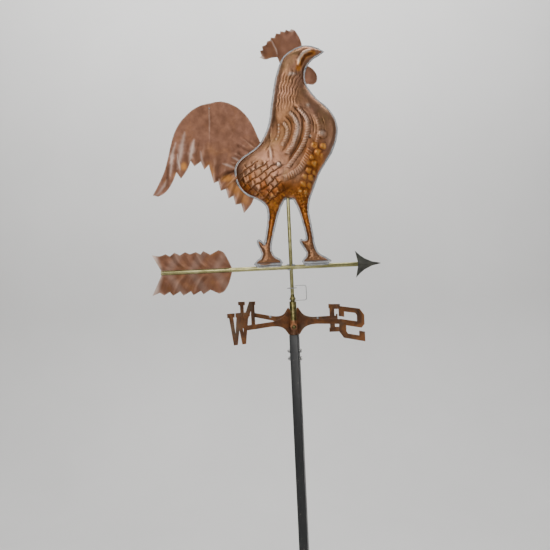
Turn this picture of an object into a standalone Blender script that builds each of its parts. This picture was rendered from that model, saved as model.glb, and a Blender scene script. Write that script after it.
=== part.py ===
"""Weather vane: a full-bodied copper rooster on a brass arrow, above four cardinal letters.

Three bodies share the mast's axis, which is Z. The mast is a square pole with a brass sleeve and a steel
spindle in its top. The vane is the rooster, the arrow and the tube that hangs on the spindle's ball. The
cardinals are four sheet arms on a collar round the sleeve.

The origin is the middle of the pole's foot, +Z is up, and the arrow points along +X. Outlines are lists of
(x, z) in millimetres, counted from the mast's axis and from the middle of the piece's own shaft or arm.
"""

import math

import bmesh
import bpy
import numpy as np
from mathutils import Matrix, Vector
from mathutils.geometry import delaunay_2d_cdt

MM = 0.001
GAP = 0.3 * MM  # between pieces that touch

# Heights along the mast.
POLE_TOP = 950 * MM
ARM_HEIGHT = 988.5 * MM
SLEEVE_TOP = 1043.2 * MM
TUBE_FOOT = 1064.6 * MM
SHAFT_HEIGHT = 1140 * MM
SPINDLE_TOP = 1400 * MM
TUBE_TOP = 1440 * MM

# Pole: square steel tube, turned a little against the arrow.
POLE_WIDTH = 25 * MM
POLE_WALL = 2 * MM
POLE_CORNER = 2.4 * MM
POLE_TURN = math.radians(-13)
PLUG_FLANGE = 3.7 * MM
PLUG_SPIGOT = 22 * MM

# Cross bolts that hold the sleeve in the pole (M6).
BOLT_HEIGHTS = {"upper": 905 * MM, "lower": 883 * MM}
BOLT_RADIUS = 3 * MM
BOLT_HOLE_RADIUS = 3.3 * MM
HEX_RADIUS = 5.77 * MM
HEX_THICK = 4.6 * MM
BOLT_STUB = 2 * MM  # how far a bolt stands out of its nut
WASHER_RADIUS = 6.5 * MM
WASHER_THICK = 1.5 * MM

# Bearing: spindle, ball, sleeve and neck.
SPINDLE_RADIUS = 3.2 * MM
SPINDLE_FOOT = 926 * MM
BALL_RADIUS = 4 * MM
SLEEVE_RADIUS = 9.8 * MM
SLEEVE_BORE = 6.3 * MM
SLEEVE_FOOT = 868 * MM
GROOVE_RADIUS = 6.5 * MM
GROOVE_TOP = 1048.7 * MM
NECK_TOP = 1064 * MM

# Vane: tube, shaft, washer and clip.
TUBE_RADIUS = 5 * MM
TUBE_BORE = 4.5 * MM
DRIP_WASHER_TOP = 1082.3 * MM
DRIP_WASHER_RADIUS = 14 * MM
DRIP_WASHER_THICK = 2 * MM
BUSH_LENGTH = 22 * MM
SEAT_LENGTH = 20 * MM
RUNNING_GAP = 0.2 * MM
SHAFT_RADIUS = 6.3 * MM
SHAFT_BORE = 5.3 * MM
SHAFT_REAR = -365 * MM
SHAFT_FRONT = 187 * MM
CLIP_WIRE = 1 * MM
CLIP_BEND = 6 * MM
CLIP_BEND_STEPS = 6
CLIP_CLEARANCE = 1.3 * MM
CLIP_REACH = 39.5 * MM
CLIP_UPPER = 1087.6 * MM
CLIP_LOWER = 1046.2 * MM

# Copper: sheets stand in the plane Y = 0, shells rise from their flanges on both sides of it.
SHEET = 0.8 * MM
ARM_SHEET = 1.2 * MM
FLETCH_SHEET = 1.0 * MM
SHELL_WALL = 0.8 * MM
FLANGE_INNER = 0.7 * MM
FLANGE_OUTER = FLANGE_INNER + SHELL_WALL
FLANGE_WIDTH = 3.2 * MM
SEAM_RADIUS = 0.9 * MM

# Cardinal collar and its set screw.
COLLAR_RADIUS = 11.3 * MM
COLLAR_BORE = 10.3 * MM
COLLAR_TOP = 991 * MM
SET_SCREW_HEIGHT = 973 * MM
BOSS_RADIUS = 10.5 * MM
BOSS_THICK = 3.4 * MM
SET_SCREW_RADIUS = 2.5 * MM
SET_SCREW_HEAD = 5.5 * MM

# The rooster's edge, clockwise from the beak. Each run is a smooth curve, and a corner joins two runs.
SOLE = 8.3
BREAST = [
    (119, 596.5), (104, 586.5), (89, 578.5), (76, 566.5), (66, 550), (62, 533), (64, 511), (74, 491), (94, 465),
    (119, 442.5), (136, 420), (145, 397), (147, 375), (142, 349), (128, 315), (106, 282), (89, 255),
    (75, 222), (61, 188), (56, 160), (58, 139), (62, 112), (65.5, 88), (69, 60), (79, 36), (98.5, 23.5),
    (113.5, 13),
]
FRONT_TOE = [(113.5, 13), (105, SOLE)]
FRONT_SOLE = [(105, SOLE), (36, SOLE)]
FRONT_HEEL = [(36, SOLE), (32.5, 14), (37, 21.5), (45, 30), (46, 38), (40.5, 48), (33.5, 60), (28.5, 71)]
FRONT_SPUR = [(28.5, 71), (28.5, 75), (32.5, 77), (37.5, 74.5), (46, 75.5)]
LEGS = [
    (46, 75.5), (46, 86), (42.5, 106), (35.5, 137), (27, 164.5), (15, 190), (2, 199), (-8, 191), (-19.5, 172.5),
    (-31.5, 142.5), (-43.5, 100), (-53, 58), (-47, 34.5), (-30, 23), (-23, 13),
]
REAR_TOE = [(-23, 13), (-28, SOLE)]
REAR_SOLE = [(-28, SOLE), (-96, SOLE)]
REAR_HEEL = [(-96, SOLE), (-102.5, 12.5), (-94, 22.5), (-83.5, 31), (-79.5, 40), (-85.5, 57), (-91.5, 73)]
REAR_SPUR = [(-91.5, 73), (-91, 78.5), (-87, 81), (-82, 78.5), (-72.5, 69)]
RUMP = [
    (-72.5, 69), (-69, 80), (-64, 104), (-58, 144), (-60, 167.5), (-71, 184), (-92, 197), (-113, 207),
    (-130, 224), (-141, 247), (-144, 277), (-137, 296), (-121, 312), (-99, 326), (-77, 342), (-63.5, 359.5),
    (-50.5, 384.5), (-41, 413.5), (-37, 439.5), (-29, 481.5), (-20, 524.5), (-9, 558), (3, 583), (21, 599),
    (43, 610), (60, 614.5), (80, 613.5), (100, 607), (119, 596.5),
]
ROOSTER_RUNS = [
    BREAST, FRONT_TOE, FRONT_SOLE, FRONT_HEEL, FRONT_SPUR, LEGS, REAR_TOE, REAR_SOLE, REAR_HEEL, REAR_SPUR, RUMP,
]
OUTLINE_STEP = 12 * MM

# Domed shape of a shell: its rise is RISE * s / (1 + s / ROUNDING), where s is the local half width.
RISE = 0.80
ROUNDING = 125 * MM
GRID = 4 * MM
SMOOTHING_ROUNDS = 1500
RING_DEPTHS = (FLANGE_WIDTH, 9 * MM)
DOME_SPACING = 17 * MM

# Sheets held in the seam. Their inner edges lie between the shells.
COMB_TEETH = [
    (-61, 587), (-55, 590.5), (-59, 605), (-51, 607.5), (-53, 617.5), (-41, 622.5), (-38, 632), (-29, 634),
    (-27, 642), (-17, 641.5), (-12, 653), (-1, 651.5), (0, 658.5), (12, 656), (16, 662), (26, 658.5), (30.5, 663),
]
COMB_FRONT = [(30.5, 663), (39.5, 659.5), (47.5, 649), (55, 633), (58.5, 616), (56, 602)]
COMB_ROOT = [(56, 602), (30, 592), (10, 572), (-2, 556)]
COMB_REAR = [(-2, 556), (-6, 572), (-12, 587), (-28, 585), (-45, 581), (-61, 587)]
WATTLE = [
    (66, 562), (78, 556), (90, 545), (97, 529), (95, 514), (84, 506), (72, 508), (60, 512), (54, 536), (66, 562),
]
TAIL_TOP = [
    (-64, 338), (-71, 356), (-79, 376), (-90, 403), (-106, 429), (-125, 449), (-147, 463), (-174, 471),
    (-202, 468.5), (-228, 464), (-254.5, 452), (-279, 431.5), (-297, 411), (-311, 384), (-321, 354),
    (-330.5, 319), (-339.5, 290), (-354, 258), (-377, 218),
]
TAIL_SICKLE = [(-377, 218), (-362, 214), (-347, 221), (-330.5, 236.5), (-316.5, 259.5), (-308, 279.5)]
TAIL_SECOND = [(-308, 279.5), (-296, 261), (-284, 276), (-274, 292.5), (-267, 309.5)]
TAIL_TIPS = [
    (-267, 309.5), (-257, 293.5), (-238.5, 306.5), (-230, 283), (-217, 295.5), (-205, 244.5), (-192.5, 249.5),
    (-187, 222), (-172.5, 227), (-166, 199.5), (-152.5, 206.5), (-147.5, 181.5), (-131.5, 184), (-125, 157),
]
TAIL_LOWER = [(-125, 157), (-113, 169), (-100.5, 185.5), (-92, 204), (-84, 214)]
TAIL_ROOT = [(-84, 214), (-110, 226), (-124, 250), (-126, 276), (-112, 296), (-86, 314), (-64, 338)]

# Fletching: seven swept feathers above the shaft and seven below. The last point is in the slit.
FLETCH_ROOT = 3.5
FLETCH_UPPER = [
    (-363, FLETCH_ROOT), (-388, 51), (-366, 48), (-350, 53), (-338, 46), (-325, 56), (-310, 48), (-295, 56),
    (-282, 49.5), (-265, 55), (-252, 48), (-244, 57), (-225, 46), (-201, 57.5), (-188, 51), (-178, 34.5),
    (-165, FLETCH_ROOT),
]
FLETCH_LOWER = [
    (-363, -FLETCH_ROOT), (-392, -63), (-371, -55), (-359, -63), (-343, -54), (-334, -65), (-314, -54),
    (-305, -66), (-284, -55), (-277, -66), (-256, -55), (-249, -65), (-229, -53), (-205, -65), (-192, -60),
    (-178, -41), (-165, -FLETCH_ROOT),
]
SLIT_FRONT = -165 * MM
SLIT_WIDTH = FLETCH_SHEET + 2 * GAP

# Arrowhead: upper half of its outline, from the rear to the tip, and the height of its ridge.
HEAD_EDGE = [(187.3, 8), (181, 38), (193, 26), (206, 16), (227, 6), (251, 1)]
HEAD_RIDGE = [(187.3, 5.4), (206, 5.0), (227, 3.0), (251, 1.0)]
HEAD_RIM = 0.9
SPIGOT_RADIUS = 5 * MM
SPIGOT_REAR = 160 * MM

# Cardinal arms: (u, z) with u the distance from the axis. The lower edge of the flare mirrors this one.
FLARE = [
    (11.6, 24), (14, 33), (18, 37.5), (22.5, 35), (28, 28), (36, 20), (47, 13.5), (63, 9), (85, 6.5),
]
ARM_HALF = 6.5

# Letters, 82 mm tall: (v, z) clockwise from the arm's upper edge, with v counted outward from the letter's
# inner side. N and S read from one side of the vane, E and W from the other.
LETTER_N = [
    (4, ARM_HALF), (4, 30), (0, 30), (0, 41), (26, 41), (52, -8), (52, 30), (46, 30), (46, 41), (76, 41),
    (76, 30), (68, 30), (68, -41), (50, -41), (20, 14), (20, -30), (28, -30), (28, -41), (0, -41), (0, -30),
    (4, -30), (4, -ARM_HALF),
]
LETTER_E = [
    (4, ARM_HALF), (4, 29), (0, 29), (0, 42), (54, 42), (54, 27), (26, 27), (26, 7), (34, 7), (34, 12),
    (41, 12), (41, -12), (34, -12), (34, -7), (26, -7), (26, -27), (54, -27), (54, -42), (0, -42), (0, -29),
    (4, -29), (4, -ARM_HALF),
]
LETTER_S = [
    (0, ARM_HALF), (5, 7.5), (59, 7.5), (59, 23), (54, 28), (18, 28), (18, 14), (0, 14), (0, 41), (68, 41),
    (82, 27), (82, 3), (72, -7.5), (23, -7.5), (23, -23), (28, -28), (64, -28), (64, -16), (82, -16),
    (82, -41), (14, -41), (0, -27), (0, -ARM_HALF),
]
LETTER_W = [
    (10, ARM_HALF), (6, 30), (0, 30), (0, 41), (25, 41), (25, 30), (20, 30), (25.5, -14), (31, 30), (28, 30),
    (28, 41), (50, 41), (50, 30), (47, 30), (52.5, -14), (58, 30), (53, 30), (53, 41), (78, 41), (78, 30),
    (72, 30), (60, -41), (47, -41), (39, -2), (31, -41), (18, -41), (12.2, -ARM_HALF),
]
BEND_START = 36  # the arms are bent up or down a little from here outwards
# name: (azimuth in degrees, distance of the letter's inner side from the axis, outline, how far the bend
# lifts the letter's inner and outer sides)
ARMS = {
    "arm_north": (135, 154, LETTER_N, 13, 11),
    "arm_east": (45, 155, LETTER_E, -6, -10.5),
    "arm_south": (-45, 163, LETTER_S, 4, -3),
    "arm_west": (-135, 166, LETTER_W, -1, 1),
}


# ---------------------------------------------------------------- materials

def material(name, colour, roughness, metallic):
    made = bpy.data.materials.new(name)
    made.use_nodes = True
    shader = made.node_tree.nodes["Principled BSDF"]
    shader.inputs["Base Color"].default_value = (*colour, 1.0)
    shader.inputs["Roughness"].default_value = roughness
    shader.inputs["Metallic"].default_value = metallic
    return made


def clear_scene():
    for obj in list(bpy.data.objects):
        bpy.data.objects.remove(obj, do_unlink=True)


# ---------------------------------------------------------------- curves and outlines

def smooth(points, step):
    """A Catmull-Rom curve through the points, sampled about every step. Both in metres."""
    points = [Vector(p) for p in points]
    if len(points) == 2:
        return points
    padded = [2 * points[0] - points[1], *points, 2 * points[-1] - points[-2]]
    found = [points[0]]
    for a, b, c, d in zip(padded, padded[1:], padded[2:], padded[3:]):
        count = max(1, round((c - b).length / step))
        for i in range(1, count + 1):
            t = i / count
            found.append(
                0.5 * (2 * b + (c - a) * t + (2 * a - 5 * b + 4 * c - d) * t**2 + (3 * b - a - 3 * c + d) * t**3)
            )
    return found


def metres(points):
    return [(x * MM, z * MM) for x, z in points]


def joined(runs, step):
    """One closed outline from runs that share their end points."""
    found = []
    for run in runs:
        found += smooth(metres(run), step)[:-1]
    return found


# ---------------------------------------------------------------- solids

def place(name, bm, finish, parent=None, location=(0, 0, 0), rotation=(0, 0, 0), sharp=30):
    """The object that holds a bmesh, shaded smooth up to the sharp angle."""
    bmesh.ops.recalc_face_normals(bm, faces=bm.faces)
    mesh = bpy.data.meshes.new(name)
    bm.to_mesh(mesh)
    bm.free()
    mesh.shade_smooth()
    mesh.set_sharp_from_angle(angle=math.radians(sharp))
    mesh.materials.append(finish)
    obj = bpy.data.objects.new(name, mesh)
    bpy.context.scene.collection.objects.link(obj)
    obj.parent = parent
    obj.location = location
    obj.rotation_euler = rotation
    return obj


def turned(name, profile, finish, sides=24, **where):
    """A solid of revolution about Z. The profile is a closed loop of (radius, height)."""
    bm = bmesh.new()
    corners = [bm.verts.new((r, 0, z)) for r, z in profile]
    edges = []
    for a, b in zip(corners, corners[1:] + corners[:1]):
        if a.co.x > 0 or b.co.x > 0:
            edges.append(bm.edges.new((a, b)))
    bmesh.ops.spin(
        bm, geom=corners + edges, cent=(0, 0, 0), axis=(0, 0, 1), angle=2 * math.pi, steps=sides, use_merge=True
    )
    bmesh.ops.remove_doubles(bm, verts=bm.verts, dist=1e-6)
    return place(name, bm, finish, **where)


def ring(outer, inner, low, high):
    """The profile of a plain tube, or of a solid rod where inner is 0."""
    return [(outer, low), (outer, high), (inner, high), (inner, low)]


def sheet(name, outline, thickness, finish, **where):
    """A flat sheet with this outline, standing in the XZ plane and centred on it."""
    edges = [(i, (i + 1) % len(outline)) for i in range(len(outline))]
    points, _, faces, *_ = delaunay_2d_cdt([Vector(p) for p in outline], edges, [], 1, 1e-7)
    bm = bmesh.new()
    corners = [bm.verts.new((x, -thickness / 2, z)) for x, z in points]
    for face in faces:
        bm.faces.new([corners[i] for i in face])
    made = bmesh.ops.extrude_face_region(bm, geom=bm.faces[:])["geom"]
    moved = [v for v in made if isinstance(v, bmesh.types.BMVert)]
    bmesh.ops.translate(bm, verts=moved, vec=(0, thickness, 0))
    return place(name, bm, finish, **where)


def stacked(name, loops, finish, closed_ring=False, **where):
    """Loops of equal length joined in order: capped at both ends, or closed into a tube."""
    bm = bmesh.new()
    rows = [[bm.verts.new(p) for p in loop] for loop in loops]
    pairs = list(zip(rows, rows[1:]))
    if closed_ring:
        pairs.append((rows[-1], rows[0]))
    else:
        bm.faces.new(rows[0])
        bm.faces.new(rows[-1])
    for low, high in pairs:
        for i in range(len(low)):
            j = (i + 1) % len(low)
            bm.faces.new((low[i], low[j], high[j], high[i]))
    return place(name, bm, finish, **where)


def rounded_square(width, corner, height, steps=4):
    """A loop of points round a square with rounded corners, at this height."""
    reach = width / 2 - corner
    loop = []
    for quarter in range(4):
        middle = Vector((reach, reach, height))
        middle.rotate(Matrix.Rotation(quarter * math.pi / 2, 3, "Z"))
        for i in range(steps + 1):
            angle = (quarter + i / steps) * math.pi / 2
            loop.append(middle + corner * Vector((math.cos(angle), math.sin(angle), 0)))
    return loop


def round_loop(radius, height, sides=12):
    return [
        Vector((radius * math.cos(2 * math.pi * i / sides), radius * math.sin(2 * math.pi * i / sides), height))
        for i in range(sides)
    ]


def hex_loop(radius, height):
    """A hexagon with a point at each corner and one in the middle of each side."""
    corners = round_loop(radius, height, 6)
    loop = []
    for a, b in zip(corners, corners[1:] + corners[:1]):
        loop += [a, (a + b) / 2]
    return loop


def wire(name, points, radius, finish, roundness=2, parent=None, location=(0, 0, 0)):
    """A round wire along the points, closed at both ends."""
    curve = bpy.data.curves.new(name, "CURVE")
    curve.dimensions = "3D"
    curve.bevel_depth = radius
    curve.bevel_resolution = roundness
    curve.use_fill_caps = True
    spline = curve.splines.new("POLY")
    spline.points.add(len(points) - 1)
    for point, target in zip(spline.points, points):
        point.co = (*target, 1)
    curve.materials.append(finish)
    obj = bpy.data.objects.new(name, curve)
    bpy.context.scene.collection.objects.link(obj)
    obj.parent = parent
    obj.location = location
    return obj


def empty(name, location, rotation=(0, 0, 0), parent=None):
    obj = bpy.data.objects.new(name, None)
    bpy.context.scene.collection.objects.link(obj)
    obj.parent = parent
    obj.location = location
    obj.rotation_euler = rotation
    return obj


def helper(obj):
    """Marks a boolean operand, which isn't a piece of the vane."""
    obj.hide_render = True
    obj.display_type = "WIRE"
    return obj


def boolean(target, operand, operation="DIFFERENCE"):
    modifier = target.modifiers.new(operand.name, "BOOLEAN")
    modifier.operation = operation
    modifier.object = helper(operand)


def rod(name, radius, start, end, finish, sides=24, **where):
    """A cylinder from start to end."""
    start, end = Vector(start), Vector(end)
    axis = end - start
    profile = [(radius, 0), (radius, axis.length), (0, axis.length), (0, 0)]
    rotation = axis.to_track_quat("Z", "Y").to_euler()
    return turned(name, profile, finish, sides=sides, location=start, rotation=rotation, **where)


# ---------------------------------------------------------------- domed shells

def distances(points, outline):
    """Distance from each point to a closed outline, negative outside it."""
    start = np.array([tuple(p) for p in outline])
    along = np.roll(start, -1, axis=0) - start
    best = np.full(len(points), np.inf)
    inside = np.zeros(len(points), bool)
    for s, a in zip(start, along):
        rel = points - s
        t = np.clip((rel @ a) / (a @ a), 0, 1)
        best = np.minimum(best, np.hypot(*(rel - t[:, None] * a).T))
        crosses = (points[:, 1] < s[1]) != (points[:, 1] < s[1] + a[1])
        if a[1]:
            inside ^= crosses & (points[:, 0] < s[0] + (points[:, 1] - s[1]) / a[1] * a[0])
    return np.where(inside, best, -best)


def half_width_field(outline):
    """A function that gives the local half width, smooth across the outline's inside and 0 on its flange.

    It is sqrt(2 u), where u is the shape of a soap film blown up over the outline: Laplace(u) = -1.
    """
    corners = np.array([tuple(p) for p in outline])
    low = corners.min(axis=0) - 2 * GRID
    count = np.ceil((corners.max(axis=0) + 2 * GRID - low) / GRID).astype(int) + 1
    xs, zs = (low[i] + GRID * np.arange(count[i]) for i in (0, 1))
    nodes = np.stack(np.meshgrid(xs, zs, indexing="ij"), axis=-1).reshape(-1, 2)
    depth = (distances(nodes, outline) - FLANGE_WIDTH).reshape(count)
    inside = depth > 0
    film = np.zeros(count)
    for _ in range(SMOOTHING_ROUNDS):
        around = film[:-2, 1:-1] + film[2:, 1:-1] + film[1:-1, :-2] + film[1:-1, 2:]
        film[1:-1, 1:-1] = np.where(inside[1:-1, 1:-1], (around + GRID**2) / 4, 0)

    def value(points):
        at = (points - low) / GRID
        cell = np.clip(np.floor(at).astype(int), 0, count - 2)
        f, g = (at - cell).T
        i, j = cell.T
        mixed = (
            film[i, j] * (1 - f) * (1 - g) + film[i + 1, j] * f * (1 - g)
            + film[i, j + 1] * (1 - f) * g + film[i + 1, j + 1] * f * g
        )
        return np.sqrt(2 * np.maximum(mixed, 0))

    return value


def shell_points(outline):
    """Points inside the outline: rings that follow its edge, then an even pattern further in."""
    edge = np.array([tuple(p) for p in outline])
    along = np.roll(edge, -1, axis=0) - np.roll(edge, 1, axis=0)
    along /= np.hypot(*along.T)[:, None]
    inward = np.stack([along[:, 1], -along[:, 0]], axis=1)
    found = []
    for depth in RING_DEPTHS:
        ring_points = edge + depth * inward
        found.append(ring_points[distances(ring_points, outline) > 0.95 * depth])
    low, high = edge.min(axis=0), edge.max(axis=0)
    row_height = DOME_SPACING * math.sqrt(3) / 2
    pattern = [
        (low[0] + (i + 0.5 * (j % 2)) * DOME_SPACING, low[1] + j * row_height)
        for i in range(int((high[0] - low[0]) / DOME_SPACING) + 1)
        for j in range(int((high[1] - low[1]) / row_height) + 1)
    ]
    pattern = np.array(pattern)
    found.append(pattern[distances(pattern, outline) > RING_DEPTHS[-1] + 0.6 * DOME_SPACING])
    return np.concatenate(found)


def shell(name, outline, side, finish, parent):
    """One domed half shell with a flat flange round it, on the +Y side or the -Y side."""
    inner = shell_points(outline)
    loose = [Vector(p) for p in inner]
    edges = [(i, (i + 1) % len(outline)) for i in range(len(outline))]
    flat, _, faces, *_ = delaunay_2d_cdt(list(outline) + loose, edges, [], 1, 1e-6)
    flat_points = np.array([tuple(p) for p in flat])
    depth = distances(flat_points, outline)
    width = half_width_field(outline)(flat_points)
    rise = np.where(depth > FLANGE_WIDTH * 1.02, RISE * width / (1 + width / ROUNDING), 0)

    bm = bmesh.new()
    outer = [bm.verts.new((x, FLANGE_OUTER + h, z)) for (x, z), h in zip(flat_points, rise)]
    skin = [bm.faces.new([outer[i] for i in face]) for face in faces]
    bmesh.ops.recalc_face_normals(bm, faces=skin)
    bm.normal_update()
    if sum(face.normal.y * face.calc_area() for face in skin) < 0:
        bmesh.ops.reverse_faces(bm, faces=skin)
        bm.normal_update()
    under = []
    for vertex, h in zip(outer, rise):
        inward = -vertex.normal if h > 0 else Vector((0, -1, 0))
        under.append(bm.verts.new(vertex.co + SHELL_WALL * inward))
    for face in faces:
        bm.faces.new([under[i] for i in face])
    pair = dict(zip(outer, under))
    for e in [e for e in bm.edges if e.is_boundary and e.verts[0] in pair]:
        a, b = e.verts
        bm.faces.new((a, b, pair[b], pair[a]))
    if side < 0:
        bmesh.ops.scale(bm, vec=(1, -1, 1), verts=bm.verts)
    return place(name, bm, finish, parent=parent, sharp=40)


# ---------------------------------------------------------------- the three bodies

def make_mast(finishes):
    steel, brass, paint = finishes["steel"], finishes["brass"], finishes["paint"]
    inside = POLE_WIDTH - 2 * POLE_WALL
    inner_corner = POLE_CORNER - POLE_WALL
    foot = PLUG_FLANGE + GAP
    pole_loops = [
        rounded_square(POLE_WIDTH, POLE_CORNER, foot),
        rounded_square(POLE_WIDTH, POLE_CORNER, POLE_TOP),
        rounded_square(inside, inner_corner, POLE_TOP),
        rounded_square(inside, inner_corner, foot),
    ]
    pole = stacked("pole", pole_loops, paint, closed_ring=True, rotation=(0, 0, POLE_TURN))
    spigot = inside - 2 * GAP
    plug_loops = [
        rounded_square(POLE_WIDTH, POLE_CORNER, 0),
        rounded_square(POLE_WIDTH, POLE_CORNER, PLUG_FLANGE),
        rounded_square(spigot, inner_corner, PLUG_FLANGE),
        rounded_square(spigot, inner_corner, PLUG_FLANGE + PLUG_SPIGOT),
    ]
    stacked("pole_end_plug", plug_loops, finishes["plastic"], rotation=(0, 0, POLE_TURN))

    sleeve = turned("bearing_sleeve", ring(SLEEVE_RADIUS, SLEEVE_BORE, SLEEVE_FOOT, SLEEVE_TOP), brass)
    fit = SLEEVE_BORE - GAP
    bore = SPINDLE_RADIUS + GAP
    floor = SLEEVE_TOP + 0.5 * MM
    neck_profile = [
        (bore, 1018 * MM), (fit, 1018 * MM), (fit, floor), (GROOVE_RADIUS, floor), (GROOVE_RADIUS, GROOVE_TOP),
        (9 * MM, GROOVE_TOP), (9 * MM, GROOVE_TOP + 1.8 * MM), (6.4 * MM, 1056 * MM), (4.8 * MM, NECK_TOP),
        (bore, NECK_TOP),
    ]
    turned("sleeve_neck", neck_profile, brass)
    guide_profile = [
        (0, 918 * MM), (fit, 918 * MM), (fit, 945 * MM), (bore, 945 * MM),
        (bore, SPINDLE_FOOT - GAP), (0, SPINDLE_FOOT - GAP),
    ]
    turned("spindle_guide", guide_profile, brass)
    turned("spindle", ring(SPINDLE_RADIUS, 0, SPINDLE_FOOT, SPINDLE_TOP), steel)
    ball_steps = 8
    ball = [
        (BALL_RADIUS * math.sin(math.pi * i / ball_steps), -BALL_RADIUS * math.cos(math.pi * i / ball_steps))
        for i in range(ball_steps + 1)
    ]
    ball[0], ball[-1] = (0, -BALL_RADIUS), (0, BALL_RADIUS)
    turned("thrust_ball", ball, steel, 16, location=(0, 0, SPINDLE_TOP + GAP + BALL_RADIUS))

    face = POLE_WIDTH / 2 + GAP
    bearing = face + WASHER_THICK + GAP
    for name, height in BOLT_HEIGHTS.items():
        level = empty(f"bolt_axis_{name}", (0, 0, height), (0, math.pi / 2, POLE_TURN))
        reach = POLE_WIDTH
        hole = rod(f"bolt_hole_{name}", BOLT_HOLE_RADIUS, (0, 0, -reach), (0, 0, reach), steel, parent=level)
        boolean(pole, hole)
        boolean(sleeve, hole)
        bolt_loops = [
            round_loop(BOLT_RADIUS, -bearing - HEX_THICK - BOLT_STUB),
            round_loop(BOLT_RADIUS, bearing),
            hex_loop(HEX_RADIUS, bearing),
            hex_loop(HEX_RADIUS, bearing + HEX_THICK),
        ]
        stacked(f"pole_bolt_{name}", bolt_loops, steel, parent=level)
        nut_loops = [
            hex_loop(HEX_RADIUS, -bearing - HEX_THICK),
            hex_loop(HEX_RADIUS, -bearing),
            round_loop(BOLT_HOLE_RADIUS, -bearing),
            round_loop(BOLT_HOLE_RADIUS, -bearing - HEX_THICK),
        ]
        stacked(f"pole_nut_{name}", nut_loops, steel, closed_ring=True, parent=level)
        for side, low in (("head", face), ("nut", -face - WASHER_THICK)):
            washer = ring(WASHER_RADIUS, BOLT_HOLE_RADIUS, low, low + WASHER_THICK)
            turned(f"pole_washer_{name}_{side}", washer, steel, 16, parent=level)


def make_bearing_end(finishes, vane):
    """The tube's foot and top: bush, seat, washer and keeper clip."""
    brass, steel = finishes["brass"], finishes["steel"]
    ground = {"parent": vane, "location": (0, 0, -SHAFT_HEIGHT)}
    turned("vane_tube", ring(TUBE_RADIUS, TUBE_BORE, TUBE_FOOT, TUBE_TOP), brass, **ground)
    fit = TUBE_BORE - RUNNING_GAP
    bush = ring(fit, SPINDLE_RADIUS + RUNNING_GAP, TUBE_FOOT, TUBE_FOOT + BUSH_LENGTH)
    turned("lower_bush", bush, brass, **ground)
    seat_floor = SPINDLE_TOP + 2 * GAP + 2 * BALL_RADIUS
    turned("bearing_seat", ring(fit, 0, seat_floor, seat_floor + SEAT_LENGTH), steel, **ground)
    washer_low = DRIP_WASHER_TOP - DRIP_WASHER_THICK
    washer = ring(DRIP_WASHER_RADIUS, TUBE_RADIUS + GAP, washer_low, DRIP_WASHER_TOP)
    turned("drip_washer", washer, steel, 32, **ground)

    # The clip is a C: out along +X, down, and back into the groove of the neck.
    inner = CLIP_REACH - CLIP_BEND
    quarter = [math.pi / 2 * i / CLIP_BEND_STEPS for i in range(CLIP_BEND_STEPS + 1)]
    corner = [(inner + CLIP_BEND * math.sin(a), CLIP_BEND * (1 - math.cos(a))) for a in quarter]
    clip = [(TUBE_RADIUS + GAP, 0, CLIP_UPPER)]
    clip += [(x, 0, CLIP_UPPER - drop) for x, drop in corner]
    clip += [(x, 0, CLIP_LOWER + drop) for x, drop in reversed(corner)]
    clip.append((GROOVE_RADIUS + CLIP_CLEARANCE, 0, CLIP_LOWER))
    wire("keeper_clip", clip, CLIP_WIRE, steel, **ground)


def make_arrow(finishes, vane):
    brass, copper = finishes["brass"], finishes["copper"]
    shaft = turned(
        "arrow_shaft", ring(SHAFT_RADIUS, SHAFT_BORE, SHAFT_REAR, SHAFT_FRONT), brass, 24,
        parent=vane, rotation=(0, math.pi / 2, 0),
    )
    reach = 2 * SHAFT_RADIUS
    cross = rod("tube_hole", TUBE_RADIUS + GAP, (0, 0, -reach), (0, 0, reach), brass, parent=vane)
    boolean(shaft, cross)
    slit_rear = SHAFT_REAR - 2 * MM
    slit_outline = [(slit_rear, -reach), (slit_rear, reach), (SLIT_FRONT, reach), (SLIT_FRONT, -reach)]
    boolean(shaft, sheet("fletch_slit", slit_outline, SLIT_WIDTH, brass, parent=vane))
    sheet("fletching_upper", metres(FLETCH_UPPER), FLETCH_SHEET, copper, parent=vane)
    sheet("fletching_lower", metres(FLETCH_LOWER), FLETCH_SHEET, copper, parent=vane)

    edge = HEAD_EDGE + [(x, -z) for x, z in reversed(HEAD_EDGE)]
    ridge = [(x, 0) for x, _ in HEAD_RIDGE]
    flat = metres(edge + ridge)
    edges = [(i, (i + 1) % len(edge)) for i in range(len(edge))]
    crest = range(len(edge), len(flat))
    edges += list(zip(crest, crest[1:]))
    points, _, faces, *_ = delaunay_2d_cdt([Vector(p) for p in flat], edges, [], 1, 1e-6)
    heights = [HEAD_RIM * MM] * len(edge) + [y * MM for _, y in HEAD_RIDGE]
    bm = bmesh.new()
    sides = [[bm.verts.new((x, s * h, z)) for (x, z), h in zip(points, heights)] for s in (-1, 1)]
    for near_side in sides:
        for face in faces:
            bm.faces.new([near_side[i] for i in face])
    for e in [e for e in bm.edges if e.is_boundary and e.verts[0] in sides[0]]:
        a, b = (sides[0].index(v) for v in e.verts)
        bm.faces.new((sides[0][a], sides[0][b], sides[1][b], sides[1][a]))
    head = place("arrowhead", bm, finishes["casting"], parent=vane, sharp=12)
    spigot = rod(
        "head_spigot", SPIGOT_RADIUS, (SPIGOT_REAR, 0, 0), (SHAFT_FRONT + 2 * MM, 0, 0), brass, parent=vane
    )
    boolean(head, spigot, "UNION")


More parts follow.
